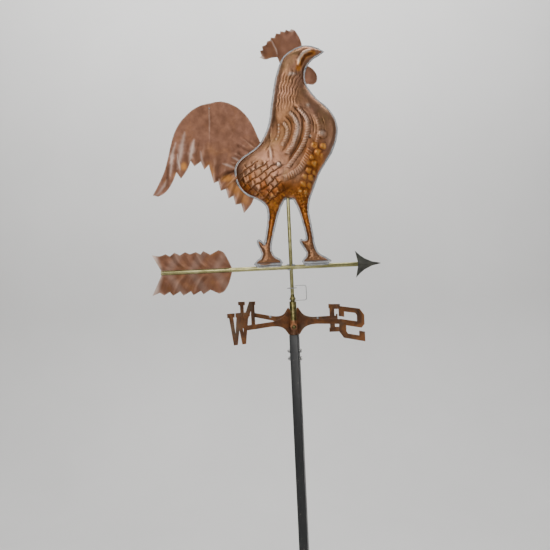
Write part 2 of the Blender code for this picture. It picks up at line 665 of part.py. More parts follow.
def make_rooster(finishes, vane):
    copper = finishes["copper"]
    outline = joined(ROOSTER_RUNS, OUTLINE_STEP)
    right = shell("rooster_shell_right", outline, -1, copper, vane)
    left = shell("rooster_shell_left", outline, 1, copper, vane)
    notch_low, notch_high = 150 * MM, 230 * MM
    notch = rod("belly_notch", TUBE_RADIUS + 2 * GAP, (0, 0, notch_low), (0, 0, notch_high), copper, parent=vane)
    boolean(right, notch)
    boolean(left, notch)
    comb = polyline(COMB_TEETH) + joined([COMB_FRONT, COMB_ROOT, COMB_REAR], OUTLINE_STEP)
    sheet("comb", comb, SHEET, copper, parent=vane)
    sheet("wattle", joined([WATTLE], OUTLINE_STEP / 2), SHEET, copper, parent=vane)
    tail = joined([TAIL_TOP, TAIL_SICKLE, TAIL_SECOND], 1.5 * OUTLINE_STEP) + polyline(TAIL_TIPS) + joined(
        [TAIL_LOWER, TAIL_ROOT], OUTLINE_STEP)
    sheet("tail", tail, SHEET, copper, parent=vane)


def polyline(points):
    """The points of a run without its last one, in metres."""
    return [Vector(p) for p in metres(points)][:-1]


# (run, first point, last point) of each length of solder, between the sheets and the tube.
SEAMS = {
    "seam_solder_breast": (BREAST, 7, 25),
    "seam_solder_chin": (BREAST, 0, 3),
    "seam_solder_front_leg": (LEGS, 1, 5),
    "seam_solder_rear_leg": (LEGS, 8, 12),
    "seam_solder_rump": (RUMP, 1, 6),
    "seam_solder_neck": (RUMP, 16, 21),
    "seam_solder_crown": (RUMP, 25, 28),
}


def make_seams(finishes, vane):
    """A bead of solder along the shells' edges, just outside them."""
    for name, (run, first, last) in SEAMS.items():
        part = smooth(metres(run[first : last + 1]), OUTLINE_STEP)
        away = GAP + SEAM_RADIUS
        bead = []
        for i, point in enumerate(part):
            along = (part[min(i + 1, len(part) - 1)] - part[max(i - 1, 0)]).normalized()
            outward = Vector((-along.y, along.x))
            bead.append((point.x + away * outward.x, 0, point.y + away * outward.y))
        wire(name, bead[1:-1], SEAM_RADIUS, finishes["solder"], roundness=0, parent=vane)


def make_feet(finishes, vane):
    """Saddles of solder between each foot and the arrow's shaft."""
    inner, outer, half_angle, steps = SHAFT_RADIUS + GAP, 8 * MM, math.radians(72), 8
    arc = [half_angle * (2 * i / steps - 1) for i in range(steps + 1)]
    section = [(outer * math.sin(a), outer * math.cos(a)) for a in arc]
    section += [(inner * math.sin(a), inner * math.cos(a)) for a in reversed(arc)]
    for name, rear, front in (("foot_pad_rear", -96, -28), ("foot_pad_front", 38, 105)):
        middle = (rear + front) / 2 * MM
        sheet(
            name, section, (front - rear) * MM, finishes["solder"],
            parent=vane, location=(middle, 0, 0), rotation=(0, 0, math.pi / 2),
        )


def make_cardinals(finishes, hub):
    copper, brass, steel = finishes["copper"], finishes["brass"], finishes["steel"]
    foot = POLE_TOP + GAP - ARM_HEIGHT
    collar = turned(
        "cardinal_collar", ring(COLLAR_RADIUS, COLLAR_BORE, foot, COLLAR_TOP - ARM_HEIGHT), copper, 32, parent=hub
    )
    level = empty("set_screw_axis", (0, 0, SET_SCREW_HEIGHT - ARM_HEIGHT), (math.pi / 2, 0, 0), hub)
    hole = rod(
        "set_screw_hole", SET_SCREW_RADIUS + GAP, (0, 0, COLLAR_BORE / 2), (0, 0, 2 * COLLAR_RADIUS), steel,
        parent=level, sides=16,
    )
    boolean(collar, hole)
    boss_low = COLLAR_RADIUS + GAP
    boss_high = boss_low + BOSS_THICK
    turned("screw_boss", ring(BOSS_RADIUS, SET_SCREW_RADIUS + GAP, boss_low, boss_high), brass, 20, parent=level)
    head_low = boss_high + GAP
    tip = SLEEVE_RADIUS + GAP
    screw_profile = [
        (0, tip), (SET_SCREW_RADIUS, tip), (SET_SCREW_RADIUS, head_low), (SET_SCREW_HEAD, head_low),
        (SET_SCREW_HEAD, head_low + 1.4 * MM), (4.4 * MM, head_low + 2.9 * MM), (2.4 * MM, head_low + 3.7 * MM),
        (0, head_low + 4 * MM),
    ]
    turned("set_screw", screw_profile, brass, 20, parent=level)

    for name, (azimuth, start, letter, inner_lift, outer_lift) in ARMS.items():
        upper = smooth(metres(FLARE), 6 * MM)
        lower = [Vector((u, -z)) for u, z in reversed(upper)]
        outline = upper + [Vector((start * MM + v, z)) for v, z in metres(letter)] + lower
        end = start + max(v for v, _ in letter)
        for point in outline:
            lift = np.interp(point.x / MM, [BEND_START, start, end], [0, inner_lift, outer_lift])
            point.y += float(lift) * MM
        sheet(name, outline, ARM_SHEET, copper, parent=hub, rotation=(0, 0, math.radians(azimuth)))


def main():
    clear_scene()
    finishes = {
        "copper": material("copper", (0.33, 0.17, 0.10), 0.42, 1.0),
        "brass": material("brass", (0.42, 0.36, 0.13), 0.38, 1.0),
        "steel": material("steel", (0.55, 0.55, 0.53), 0.35, 1.0),
        "solder": material("solder", (0.50, 0.50, 0.49), 0.45, 1.0),
        "casting": material("casting", (0.20, 0.19, 0.16), 0.55, 1.0),
        "paint": material("paint", (0.035, 0.037, 0.04), 0.45, 0.0),
        "plastic": material("plastic", (0.02, 0.02, 0.02), 0.6, 0.0),
    }
    vane = empty("vane_axis", (0, 0, SHAFT_HEIGHT))
    hub = empty("cardinals_axis", (0, 0, ARM_HEIGHT))
    make_mast(finishes)
    make_bearing_end(finishes, vane)
    make_arrow(finishes, vane)
    make_rooster(finishes, vane)
    make_seams(finishes, vane)
    make_feet(finishes, vane)
    make_cardinals(finishes, hub)


main()
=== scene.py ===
"""The looks of a weather vane: an embossed copper rooster on a brass arrow, above four cardinal letters.

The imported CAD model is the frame. The rooster's shells, the sheets, the solder and the turned parts are
built here round their CAD nodes, in metres and in the row frame. Relief is written in millimetres, in the
plane of the vane: x from the mast's axis along the arrow, z up from the middle of the arrow's shaft.
"""

import math

import bmesh
import bpy
import numpy as np
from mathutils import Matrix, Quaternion, Vector, noise
from mathutils.geometry import delaunay_2d_cdt


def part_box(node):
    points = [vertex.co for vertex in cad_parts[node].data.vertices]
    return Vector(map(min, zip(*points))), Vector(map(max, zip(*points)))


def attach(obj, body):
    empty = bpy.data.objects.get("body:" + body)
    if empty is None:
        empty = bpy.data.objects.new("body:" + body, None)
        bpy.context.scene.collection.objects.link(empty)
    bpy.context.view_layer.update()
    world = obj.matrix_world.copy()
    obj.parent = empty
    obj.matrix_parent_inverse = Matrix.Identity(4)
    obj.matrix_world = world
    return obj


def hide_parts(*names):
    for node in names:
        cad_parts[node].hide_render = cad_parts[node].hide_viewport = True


MM = 0.001
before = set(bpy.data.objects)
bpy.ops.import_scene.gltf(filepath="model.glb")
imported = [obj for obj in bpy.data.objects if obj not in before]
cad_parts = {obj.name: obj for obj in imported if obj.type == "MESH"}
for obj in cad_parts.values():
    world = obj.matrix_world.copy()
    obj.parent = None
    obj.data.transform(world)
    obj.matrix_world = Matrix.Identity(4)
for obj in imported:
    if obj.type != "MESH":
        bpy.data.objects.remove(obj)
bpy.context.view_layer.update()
SHAFT_LOW, SHAFT_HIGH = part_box("arrow_shaft")
SHAFT_HEIGHT = (SHAFT_LOW.z + SHAFT_HIGH.z) / 2
SHAFT_RADIUS = (SHAFT_HIGH.z - SHAFT_LOW.z) / 2

# Shells of the rooster, as in the CAD model: a flange, then a dome over the local half width.
FLANGE_WIDTH = 3.2 * MM
FLANGE_OUTER = 1.5 * MM
FLANGE_INNER = 0.7 * MM
RISE = 0.80
ROUNDING = 125 * MM
FILM_GRID = 4 * MM
FILM_ROUNDS = 1500
SOLE_HEIGHTS = (12.5, 16.5)  # millimetres above the shaft's middle, where a foot's flat sole ends

# Meshes: how far apart their points lie, and the turn from which an outline has a corner.
SKIN_SPACING = 1.7 * MM
LINING_SPACING = 14 * MM
LINING_GAP = 3.5 * MM
EDGE_STEP = 2.2 * MM
SHEET_SPACING = 2.6 * MM
CORNER_ANGLE = math.radians(38)
WELD = 1e-5


# ---------------------------------------------------------------- outlines

def merged(node):
    """(points, triangles) of a CAD node, with the corners that its faces share made one."""
    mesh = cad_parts[node].data
    points = np.array([v.co for v in mesh.vertices])
    keys, index = np.unique(np.round(points / WELD).astype(int), axis=0, return_inverse=True)
    triangles = index.reshape(-1)[np.array([p.vertices for p in mesh.polygons])]
    return keys * WELD, triangles


def edge_loop(node, side=-1):
    """The outline of a sheet or shell in the vane's plane, as (x, z) anticlockwise, z from the shaft."""
    points, triangles = merged(node)
    a, b, c = (points[triangles[:, i]] for i in range(3))
    normal = np.cross(b - a, c - a)
    facing = triangles[normal[:, 1] * side > 0.05 * np.linalg.norm(normal, axis=1)]
    directed = {(int(f[i]), int(f[(i + 1) % 3])) for f in facing for i in range(3)}
    follow = {start: end for start, end in directed if (end, start) not in directed}
    loops = []
    while follow:
        start, at = follow.popitem()
        loop = [start]
        while at in follow:
            loop.append(at)
            at = follow.pop(at)
        loops.append(loop)
    loop = max(loops, key=len)
    outline = points[loop][:, [0, 2]] - (0, SHAFT_HEIGHT)
    x, z = outline.T
    area = np.sum(x * np.roll(z, -1) - np.roll(x, -1) * z)
    return outline if area > 0 else outline[::-1]


def refined(points, step, closed=True, corner=CORNER_ANGLE):
    """The points again, about a step apart: a smooth curve that stays sharp at its corners."""
    points = [Vector(p) for p in points]
    count = len(points)
    ahead = [(points[(i + 1) % count] - points[i]) for i in range(count)]
    tangents = []
    for i in range(count):
        before, after = ahead[i - 1], ahead[i]
        at_end = not closed and i in (0, count - 1)
        sharp = at_end or before.angle(after, 0) > corner
        tangents.append(None if sharp else (before.normalized() + after.normalized()).normalized())
    found = []
    for i in range(count if closed else count - 1):
        j = (i + 1) % count
        length = ahead[i].length
        straight = ahead[i].normalized()
        leave = (tangents[i] or straight) * length
        arrive = (tangents[j] or straight) * length
        pieces = max(1, round(length / step))
        for k in range(pieces):
            t = k / pieces
            found.append(
                points[i] * (2 * t**3 - 3 * t**2 + 1) + leave * (t**3 - 2 * t**2 + t)
                + points[j] * (3 * t**2 - 2 * t**3) + arrive * (t**3 - t**2)
            )
    if not closed:
        found.append(points[-1])
    return np.array([tuple(p) for p in found])


def curve(points, step=3):
    """A smooth open curve through the points, in millimetres, with no corners."""
    return refined(points, step, closed=False, corner=math.pi)


def length_of(line):
    return np.hypot(*np.diff(line, axis=0).T).sum()


def patch(points, x, z, half_width, half_height):
    """A soft spot: 1 in its middle, fading away all round."""
    return np.exp(-(((points[:, 0] - x) / half_width) ** 2) - ((points[:, 1] - z) / half_height) ** 2)


def nearest(points, line, closed=False):
    """(distance, length along the line, side) of each point against a line; side is positive on its left."""
    start = line if closed else line[:-1]
    along = (np.roll(line, -1, axis=0) if closed else line[1:]) - start
    lengths = np.hypot(*along.T)
    travelled = np.concatenate([[0], np.cumsum(lengths)[:-1]])
    best = np.full(len(points), np.inf)
    where = np.zeros(len(points))
    side = np.zeros(len(points))
    for s, a, length, before in zip(start, along, lengths, travelled):
        rel = points - s
        t = np.clip((rel @ a) / (length * length), 0, 1)
        away = rel - t[:, None] * a
        distance = np.hypot(away[:, 0], away[:, 1])
        closer = distance < best
        best = np.where(closer, distance, best)
        where = np.where(closer, before + t * length, where)
        side = np.where(closer, np.sign(a[0] * rel[:, 1] - a[1] * rel[:, 0]), side)
    return best, where, side


def inside_loop(points, loop):
    inside = np.zeros(len(points), bool)
    for s, e in zip(loop, np.roll(loop, -1, axis=0)):
        crosses = (points[:, 1] < s[1]) != (points[:, 1] < e[1])
        if e[1] != s[1]:
            inside ^= crosses & (points[:, 0] < s[0] + (points[:, 1] - s[1]) / (e[1] - s[1]) * (e[0] - s[0]))
    return inside


def depth_in(points, loop):
    """Distance from each point to the loop, negative outside it."""
    distance = nearest(points, loop, closed=True)[0]
    return np.where(inside_loop(points, loop), distance, -distance)


def ease(value, low, high):
    """0 below low, 1 above high, and smooth between them."""
    t = np.clip((value - low) / (high - low), 0, 1)
    return t * t * (3 - 2 * t)


def grain(points, size, seed):
    """Smooth noise from -1 to 1 over 2D points in millimetres, with lumps about this size."""
    return np.array([noise.noise(Vector((x / size, z / size, seed * 17.3))) for x, z in points]) * 1.6


# ---------------------------------------------------------------- meshes

def finish_mesh(name, mesh, body, slot, finishes, replaces=(), sharp=50):
    """The object that holds a mesh in place: shaded, given its finish, and riding on its body."""
    mesh.shade_smooth()
    mesh.set_sharp_from_angle(angle=math.radians(sharp))
    obj = bpy.data.objects.new(name, mesh)
    obj.data.materials.append(finishes[slot])
    bpy.context.scene.collection.objects.link(obj)
    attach(obj, body)
    if replaces:
        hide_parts(*replaces)


def lattice(loop, rings, spacing):
    """Points inside the loop: rings that follow its edge, then an even pattern further in."""
    along = np.roll(loop, -1, axis=0) - np.roll(loop, 1, axis=0)
    along /= np.hypot(*along.T)[:, None]
    inward = np.stack([-along[:, 1], along[:, 0]], axis=1)
    found = []
    for depth in rings:
        ring = loop + depth * inward
        found.append(ring[depth_in(ring, loop) > 0.96 * depth])
    low, high = loop.min(axis=0), loop.max(axis=0)
    row_height = spacing * math.sqrt(3) / 2
    rows = int((high[1] - low[1]) / row_height) + 1
    columns = int((high[0] - low[0]) / spacing) + 1
    i, j = np.meshgrid(np.arange(columns), np.arange(rows), indexing="ij")
    across, up = low[0] + (i + 0.5 * (j % 2)) * spacing, low[1] + j * row_height
    pattern = np.stack([across, up], axis=-1).reshape(-1, 2)
    found.append(pattern[depth_in(pattern, loop) > max(rings, default=0) + 0.6 * spacing])
    return np.concatenate(found)


def triangulated(loop, inner):
    """(points, triangles, index of each loop point) of the area inside the loop."""
    given = [Vector(p) for p in np.concatenate([loop, inner])]
    edges = [(i, (i + 1) % len(loop)) for i in range(len(loop))]
    points, _, faces, origins, *_ = delaunay_2d_cdt(given, edges, [], 1, 1e-7)
    place = {}
    for index, sources in enumerate(origins):
        for source in sources:
            place[source] = index
    return np.array([tuple(p) for p in points]), np.array(faces), [place[i] for i in range(len(loop))]


def smoothed(values, triangles, rounds):
    """Values at a mesh's points, averaged with their neighbours this many times."""
    pairs = np.concatenate([triangles[:, [0, 1]], triangles[:, [1, 2]], triangles[:, [2, 0]]])
    pairs = np.concatenate([pairs, pairs[:, ::-1]])
    count = np.bincount(pairs[:, 0], minlength=len(values))
    for _ in range(rounds):
        total = np.bincount(pairs[:, 0], weights=values[pairs[:, 1]], minlength=len(values))
        values = 0.5 * values + 0.5 * total / np.maximum(count, 1)
    return values


def closed_panel(name, front, front_y, back, back_y):
    """One closed mesh from two triangulated faces with the same outline, each lifted along Y."""
    front_points, front_faces, front_rim = front
    back_points, back_faces, back_rim = back
    offset = len(front_points)
    corners = [(x, y, z + SHAFT_HEIGHT) for (x, z), y in zip(front_points, front_y)]
    corners += [(x, y, z + SHAFT_HEIGHT) for (x, z), y in zip(back_points, back_y)]
    faces = front_faces.tolist() + (back_faces[:, ::-1] + offset).tolist()
    count = len(front_rim)
    for i in range(count):
        j = (i + 1) % count
        faces.append((front_rim[i], back_rim[i] + offset, back_rim[j] + offset, front_rim[j]))
    mesh = bpy.data.meshes.new(name)
    mesh.from_pydata(corners, [], faces)
    bm = bmesh.new()
    bm.from_mesh(mesh)
    bmesh.ops.recalc_face_normals(bm, faces=bm.faces)
    bm.to_mesh(mesh)
    bm.free()
    return mesh


def mesh_from(name, bm):
    """The mesh of a closed bmesh, with its faces turned outwards."""
    bmesh.ops.recalc_face_normals(bm, faces=bm.faces)
    mesh = bpy.data.meshes.new(name)
    bm.to_mesh(mesh)
    bm.free()
    return mesh


def paint(mesh, name, values, rest=0.0):
    """A number at each point of the mesh: these values first, and rest on the points after them."""
    filled = np.full(len(mesh.vertices), rest, np.float32)
    filled[: len(values)] = values
    mesh.attributes.new(name, "FLOAT", "POINT").data.foreach_set("value", filled)


# ---------------------------------------------------------------- the rooster's dome and relief

def film_over(loop):
    """A function that gives u, where Laplace(u) = -1 inside the loop and u = 0 on its flange."""
    low = loop.min(axis=0) - 2 * FILM_GRID
    count = np.ceil((loop.max(axis=0) + 2 * FILM_GRID - low) / FILM_GRID).astype(int) + 1
    axes = [low[i] + FILM_GRID * np.arange(count[i]) for i in (0, 1)]
    nodes = np.stack(np.meshgrid(*axes, indexing="ij"), axis=-1).reshape(-1, 2)
    depth = (depth_in(nodes, loop) - FLANGE_WIDTH).reshape(count)
    inside = depth > 0
    film = np.zeros(count)
    for _ in range(FILM_ROUNDS):
        around = film[:-2, 1:-1] + film[2:, 1:-1] + film[1:-1, :-2] + film[1:-1, 2:]
        film[1:-1, 1:-1] = np.where(inside[1:-1, 1:-1], (around + FILM_GRID**2) / 4, 0)
    known = depth > 0.4 * FILM_GRID
    ratio = np.where(known, film / np.maximum(depth, 0.4 * FILM_GRID), 0)
    weight = known.astype(float)
    for _ in range(4):  # carries the ratio a few cells outward, so that reading it at the edge is smooth
        total, share = np.zeros(count), np.zeros(count)
        for dx, dz in ((1, 0), (-1, 0), (0, 1), (0, -1)):
            total += np.roll(ratio * weight, (dx, dz), axis=(0, 1))
            share += np.roll(weight, (dx, dz), axis=(0, 1))
        spread = (weight == 0) & (share > 0)
        ratio[spread] = total[spread] / share[spread]
        weight[spread] = 1

    def value(points, depth_here):
        at = (points - low) / FILM_GRID
        cell = np.clip(np.floor(at).astype(int), 0, count - 2)
        f, g = (at - cell).T
        i, j = cell.T
        mixed = (
            ratio[i, j] * (1 - f) * (1 - g) + ratio[i + 1, j] * f * (1 - g)
            + ratio[i, j + 1] * (1 - f) * g + ratio[i + 1, j + 1] * f * g
        )
        return np.maximum(mixed * (depth_here - FLANGE_WIDTH), 0)

    return value


# Cords of the wing: (points of the line, width, height, depth of the notches, their pitch and slant).
WING_CORDS = [
    ([(36, 439), (63, 394), (59, 364), (43, 327), (22, 299), (0, 270)], 13, 2.2, 1.0, 7.6, 0.5),
    ([(11, 427), (27, 406), (33, 385), (28, 361), (17, 332), (-1, 307)], 14, 2.4, 1.1, 7.6, 0.6),
    ([(-7, 401), (5, 378), (0, 354), (-14, 330)], 12, 2.0, 1.0, 7.4, 0.6),
    ([(-17, 401), (-18, 381), (-20, 364), (-31, 344)], 8, 1.5, 0.8, 10, 0.2),
    ([(67, 325), (55, 298), (38, 272), (16, 255), (-12, 242)], 18, 1.9, 1.1, 7.2, -0.3),
    ([(81, 420), (92, 391), (93, 366), (85, 341), (73, 322)], 10, 1.3, 0.6, 7.5, 0.2),
]
# Smooth ridges: (points of the line, width, height).
RIDGES = [
    ([(24, 446), (47, 414), (49, 380), (41, 348), (25, 318), (4, 290)], 12, -1.6),
    ([(-2, 420), (18, 396), (17, 366), (4, 336), (-14, 314)], 9, -1.2),
    ([(-37, 404), (-41, 368), (-42, 340), (-58, 318)], 6, 1.0),
    ([(-120, 272), (-118, 246), (-106, 224)], 7, 1.4),
    ([(70, 420), (79, 388), (77, 360)], 6, -0.9),
    ([(100, 414), (108, 384), (104, 352)], 6, -0.8),
    ([(44, 552), (50, 574), (62, 590), (88, 600)], 13, 2.6),
    ([(52, 548), (60, 571), (72, 583), (94, 590)], 11, -0.8),
]
THROAT = [(44, 546), (54, 570), (68, 584), (88, 592)]
# Painted highlights and reflections, as pale strokes: (points of the line, width, amount).
HIGHLIGHT_STROKES = [
    ([(-19, 585), (-14, 574), (-16, 563)], 6, 0.9),
    ([(44, 556), (50, 575), (62, 590), (80, 598)], 6, 0.85),
    ([(16, 528), (26, 533), (38, 531)], 8, 0.45),
    ([(-44, 334), (-43, 314), (-40, 296)], 4, 0.3),
    ([(38, 434), (60, 404), (64, 380)], 6, 0.35),
    ([(14, 424), (29, 404), (36, 385), (31, 361), (20, 333)], 7, 0.5),
]
# Painted highlights, as pale spots: (x, z, radius, amount).
HIGHLIGHT_SPOTS = [(100, 364, 7, 0.45), (-23, 283, 6, 0.5), (66, 442, 5, 0.5), (67, 357, 3, 0.5)]
# Patches of painted warm reflection, where the copper is made orange: (x, z, half width, half height, amount).
WARM_REFLECTION_PATCHES = [(80, 285, 36, 62, 0.9), (-118, 222, 34, 34, 1.0), (-40, 205, 90, 34, 0.9), (-66, 120, 16, 60, 0.5)]
# Beaten drops on the lower breast: (x, z, radius, height).
DROPS = [
    (79, 330, 11, 3.4), (104, 327, 11, 3.4), (87, 311, 10.5, 3.4), (67, 299, 9, 2.6), (97, 303, 8, 2.2),
    (76, 280, 10, 3.2), (60, 283, 8, 2.0), (60, 262, 9.5, 3.0), (76, 256, 9, 2.4), (66, 243, 10.5, 3.4),
    (48, 246, 9, 2.4), (44, 226, 10, 2.8), (61, 222, 9, 2.8), (34, 208, 9, 2.4), (50, 202, 9, 2.6),
]
# Bosses and dimples: (x, z, half width, half height, rise).
BOSSES = [(103, 361, 12, 12, 3.0), (-23, 283, 8, 8, 3.0), (-43, 313, 8, 22, 1.6), (67, 355, 5, 5, -1.6)]
SHINGLE_SIZE = 18.5
SHINGLE_TURN = math.radians(33)
SHINGLE_DROP = 3.4
SHINGLE_AREA = [
    (-122, 292), (-92, 302), (-40, 297), (-4, 276), (-14, 246), (2, 218), (-24, 190), (-78, 176), (-132, 226),
]
HACKLE_PITCH = 8.6
HACKLE_HEIGHT = 1.5


def cord_relief(points, line, width, height, notch, pitch, slant):
    """(height, tick) of a raised cord that is notched across like a rope; a tick marks the painted highlight
    between notches.
    """
    spine = curve(line)
    distance, along, side = nearest(points, spine)
    across = distance / (width / 2)
    length = length_of(spine)
    ends = ease(along, 0, 8) * ease(length - along, 0, 8)
    profile = np.sqrt(np.clip(1 - across**2, 0, 1)) * ends
    wave = 0.5 + 0.5 * np.cos(2 * math.pi * (along + slant * side * distance) / pitch)
    return profile * (height - notch * (1 - wave)), profile * wave


def ridge_relief(points, line, width, height):
    spine = curve(line)
    distance, along, _ = nearest(points, spine)
    length = length_of(spine)
    ends = ease(along, 0, 14) * ease(length - along, 0, 14)
    return height * ends * np.clip(1 - (distance / (width / 2)) ** 2, 0, 1) ** 1.5


def hackles(points):
    """Wavy feathers of the neck, which fan out below the head and die away above the wing."""
    x, z = points.T
    back = -19 + (z - 524) * 0.19
    across = x - back
    fan = 1 + 0.35 * ease(z, 470, 560)
    sway = 1.5 * np.sin(z / 4.4 + across / 16) + 0.9 * np.sin(z / 7.3 + 1.3)
    phase = math.pi * (across + sway) / (HACKLE_PITCH * fan)
    ridge = np.abs(np.sin(phase)) ** 0.75
    right = 72 + 16 * ease(z, 470, 545)
    mask = ease(across, 4, 12) * ease(right - across, 0, 14) * ease(z, 416, 462) * ease(-z, -552, -524)
    return HACKLE_HEIGHT * mask * (ridge - 0.45)


def shingles(points):
    """(height, shadow, tone) of the rump's overlapping scales, which drop at their lower right edges."""
    x, z = points.T
    rows = np.array([math.cos(SHINGLE_TURN), math.sin(SHINGLE_TURN)])
    down = np.array([math.cos(math.radians(-66)), math.sin(math.radians(-66))])
    skew = np.linalg.inv(np.stack([rows, down], axis=1)) / SHINGLE_SIZE
    sag = 3.2 * np.sin(x / 15) + 0.0012 * (x + 60) ** 2
    drift = x + 3.2 * np.sin(z / 17) + 2.6 * grain(points, 15, 8)
    bend = np.stack([drift, z + sag + 2.6 * grain(points, 17, 9)])
    a, b = skew @ bend
    row = np.floor(b)
    a = a + 0.5 * (row % 2)
    u, v = a % 1, (b + 0.10 * np.sin(math.pi * (a % 1))) % 1
    tone = np.sin(12.9898 * np.floor(a) + 78.233 * row) * 437.585
    tone = tone - np.floor(tone)
    lip = ease(1 - v, 0, 0.26) * (0.45 + 0.55 * ease(1 - u, 0, 0.16))
    pillow = np.sqrt(np.clip(np.sin(math.pi * (0.12 + 0.88 * u)), 0, 1))
    tilt = (0.15 + 0.85 * v) * lip * pillow * (0.7 + 0.5 * tone)
    area = ease(depth_in(points, refined(SHINGLE_AREA, 6, corner=math.pi)), -2, 14)
    shadow = (1 - ease(1 - v, 0.02, 0.26) * (0.62 + 0.38 * ease(1 - u, 0.0, 0.12))) * area
    return SHINGLE_DROP * (tilt - 0.3) * area, shadow, (tone - 0.5) * area


def stroke_paint(points, strokes):
    """Soft strokes that swell in the middle and fade at both ends."""
    found = np.zeros(len(points))
    for line, width, amount in strokes:
        spine = curve(line)
        distance, along, _ = nearest(points, spine)
        share = along / length_of(spine)
        swell = np.sin(math.pi * np.clip(0.08 + 0.84 * share, 0, 1))
        ragged = 1 + 0.35 * grain(points, 9, 61)
        near = np.exp(-((distance / (0.62 * width * (0.25 + 0.75 * swell) * ragged)) ** 2))
        found = np.maximum(found, amount * near * (0.35 + 0.65 * swell))
    return found


def body_relief(points):
    """(height in mm, painted shade, painted highlight, painted golden reflection, painted warm reflection mixed
    with random tone) of the rooster's skin at points of its plane.
    """
    x, z = points.T
    cords = np.zeros(len(points))
    ticks = np.zeros(len(points))
    for cord in WING_CORDS:
        raised, tick = cord_relief(points, *cord)
        ticks = np.where(raised > cords, tick * cord[2] / 2.8, ticks)
        cords = np.maximum(cords, raised)
    bare = 1 - ease(cords, 0.1, 0.8)
    scale_height, scale_shadow, scale_tone = shingles(points)
    height = hackles(points) + cords + scale_height * bare
    for line, width, rise in RIDGES:
        height += ridge_relief(points, line, width, rise) * bare
    drops = np.zeros(len(points))
    for i, (dx, dz, radius, rise) in enumerate(DROPS):
        turn = 0.5 + 0.35 * math.sin(2.4 * i)
        along = (math.sin(turn) * (x - dx) - math.cos(turn) * (z - dz)) / (1.15 * radius)
        across = (math.cos(turn) * (x - dx) + math.sin(turn) * (z - dz)) / (0.95 * radius)
        away = np.abs(across) ** 1.7 * (1 + 0.9 * np.maximum(along, -0.2)) + np.abs(along) ** 1.9
        drops = np.maximum(drops, 0.62 * rise * np.clip(1 - away, 0, 1) * (1 - 0.3 * along))
    height += drops * bare
    for bx, bz, half_x, half_z, rise in BOSSES:
        away = ((x - bx) / half_x) ** 2 + ((z - bz) / half_z) ** 2
        height += rise * np.clip(1 - away, 0, 1) ** 0.9
    legs = ease(-z, -232, -196)
    height += legs * (np.abs(grain(points, 6.5, 1)) * 1.4 - 0.4) * (0.45 + 0.55 * ease(x, -20, 0))
    height += 0.45 * grain(points, 18, 2) + 0.14 * grain(points, 7, 3)

    # Painted highlights: pale on the ticks of the wing cords, in strokes and in spots.
    pale = 0.26 * ticks * (0.6 + 0.7 * grain(points, 16, 7))
    pale = np.maximum(pale, stroke_paint(points, HIGHLIGHT_STROKES))
    for bx, bz, radius, amount in HIGHLIGHT_SPOTS:
        pale = np.maximum(pale, amount * patch(points, bx, bz, radius, radius))
    # Painted shade: under the scales, in the belly between the legs, between the wing cords and in spots on the
    # thighs.
    belly = patch(points, -6, 222, 36, 17)
    between = 0.55 * (1 - ease(cords, 0.0, 1.1)) * np.exp(-(((x - 14) / 60) ** 4) - ((z - 345) / 82) ** 4)
    spots = legs * ease(z, 70, 130)
    shadow = 0.9 * scale_shadow * bare + 0.85 * belly + between
    shadow = np.clip(shadow + 0.65 * spots * ease(grain(points, 6, 12), 0.08, 0.34), 0, 1)
    # Painted golden reflection: along the throat, on the beaten drops and the lower breast, and painted highlights
    # on the thighs.
    throat = nearest(points, curve(THROAT))[0]
    gold = np.clip(1.25 - throat / 10, 0, 1)
    breast = np.exp(-(((x - 40 - 0.36 * (z - 200)) / 22) ** 2) - ((z - 265) / 75) ** 4)
    gold = np.maximum(gold, np.maximum(0.9 * ease(drops, 0.1, 1.6), 0.5 * breast * bare))
    gold = np.maximum(gold, 0.75 * spots * ease(grain(points, 8, 13), 0.10, 0.36))
    # Painted warm reflection: orange on the lower body and in patches, less on the feet, with random tone per
    # scale.
    warm = 0.95 * ease(-z, -262, -205)
    for *place, amount in WARM_REFLECTION_PATCHES:
        warm = np.maximum(warm, amount * patch(points, *place))
    feet = ease(-z, -130, -60)
    warm = warm * (1 - 0.8 * feet) + 0.12 * grain(points, 14, 5) - 0.75 * scale_tone
    return height, shadow, np.clip(pale, 0, 1), gold, np.clip(warm, 0, 1)


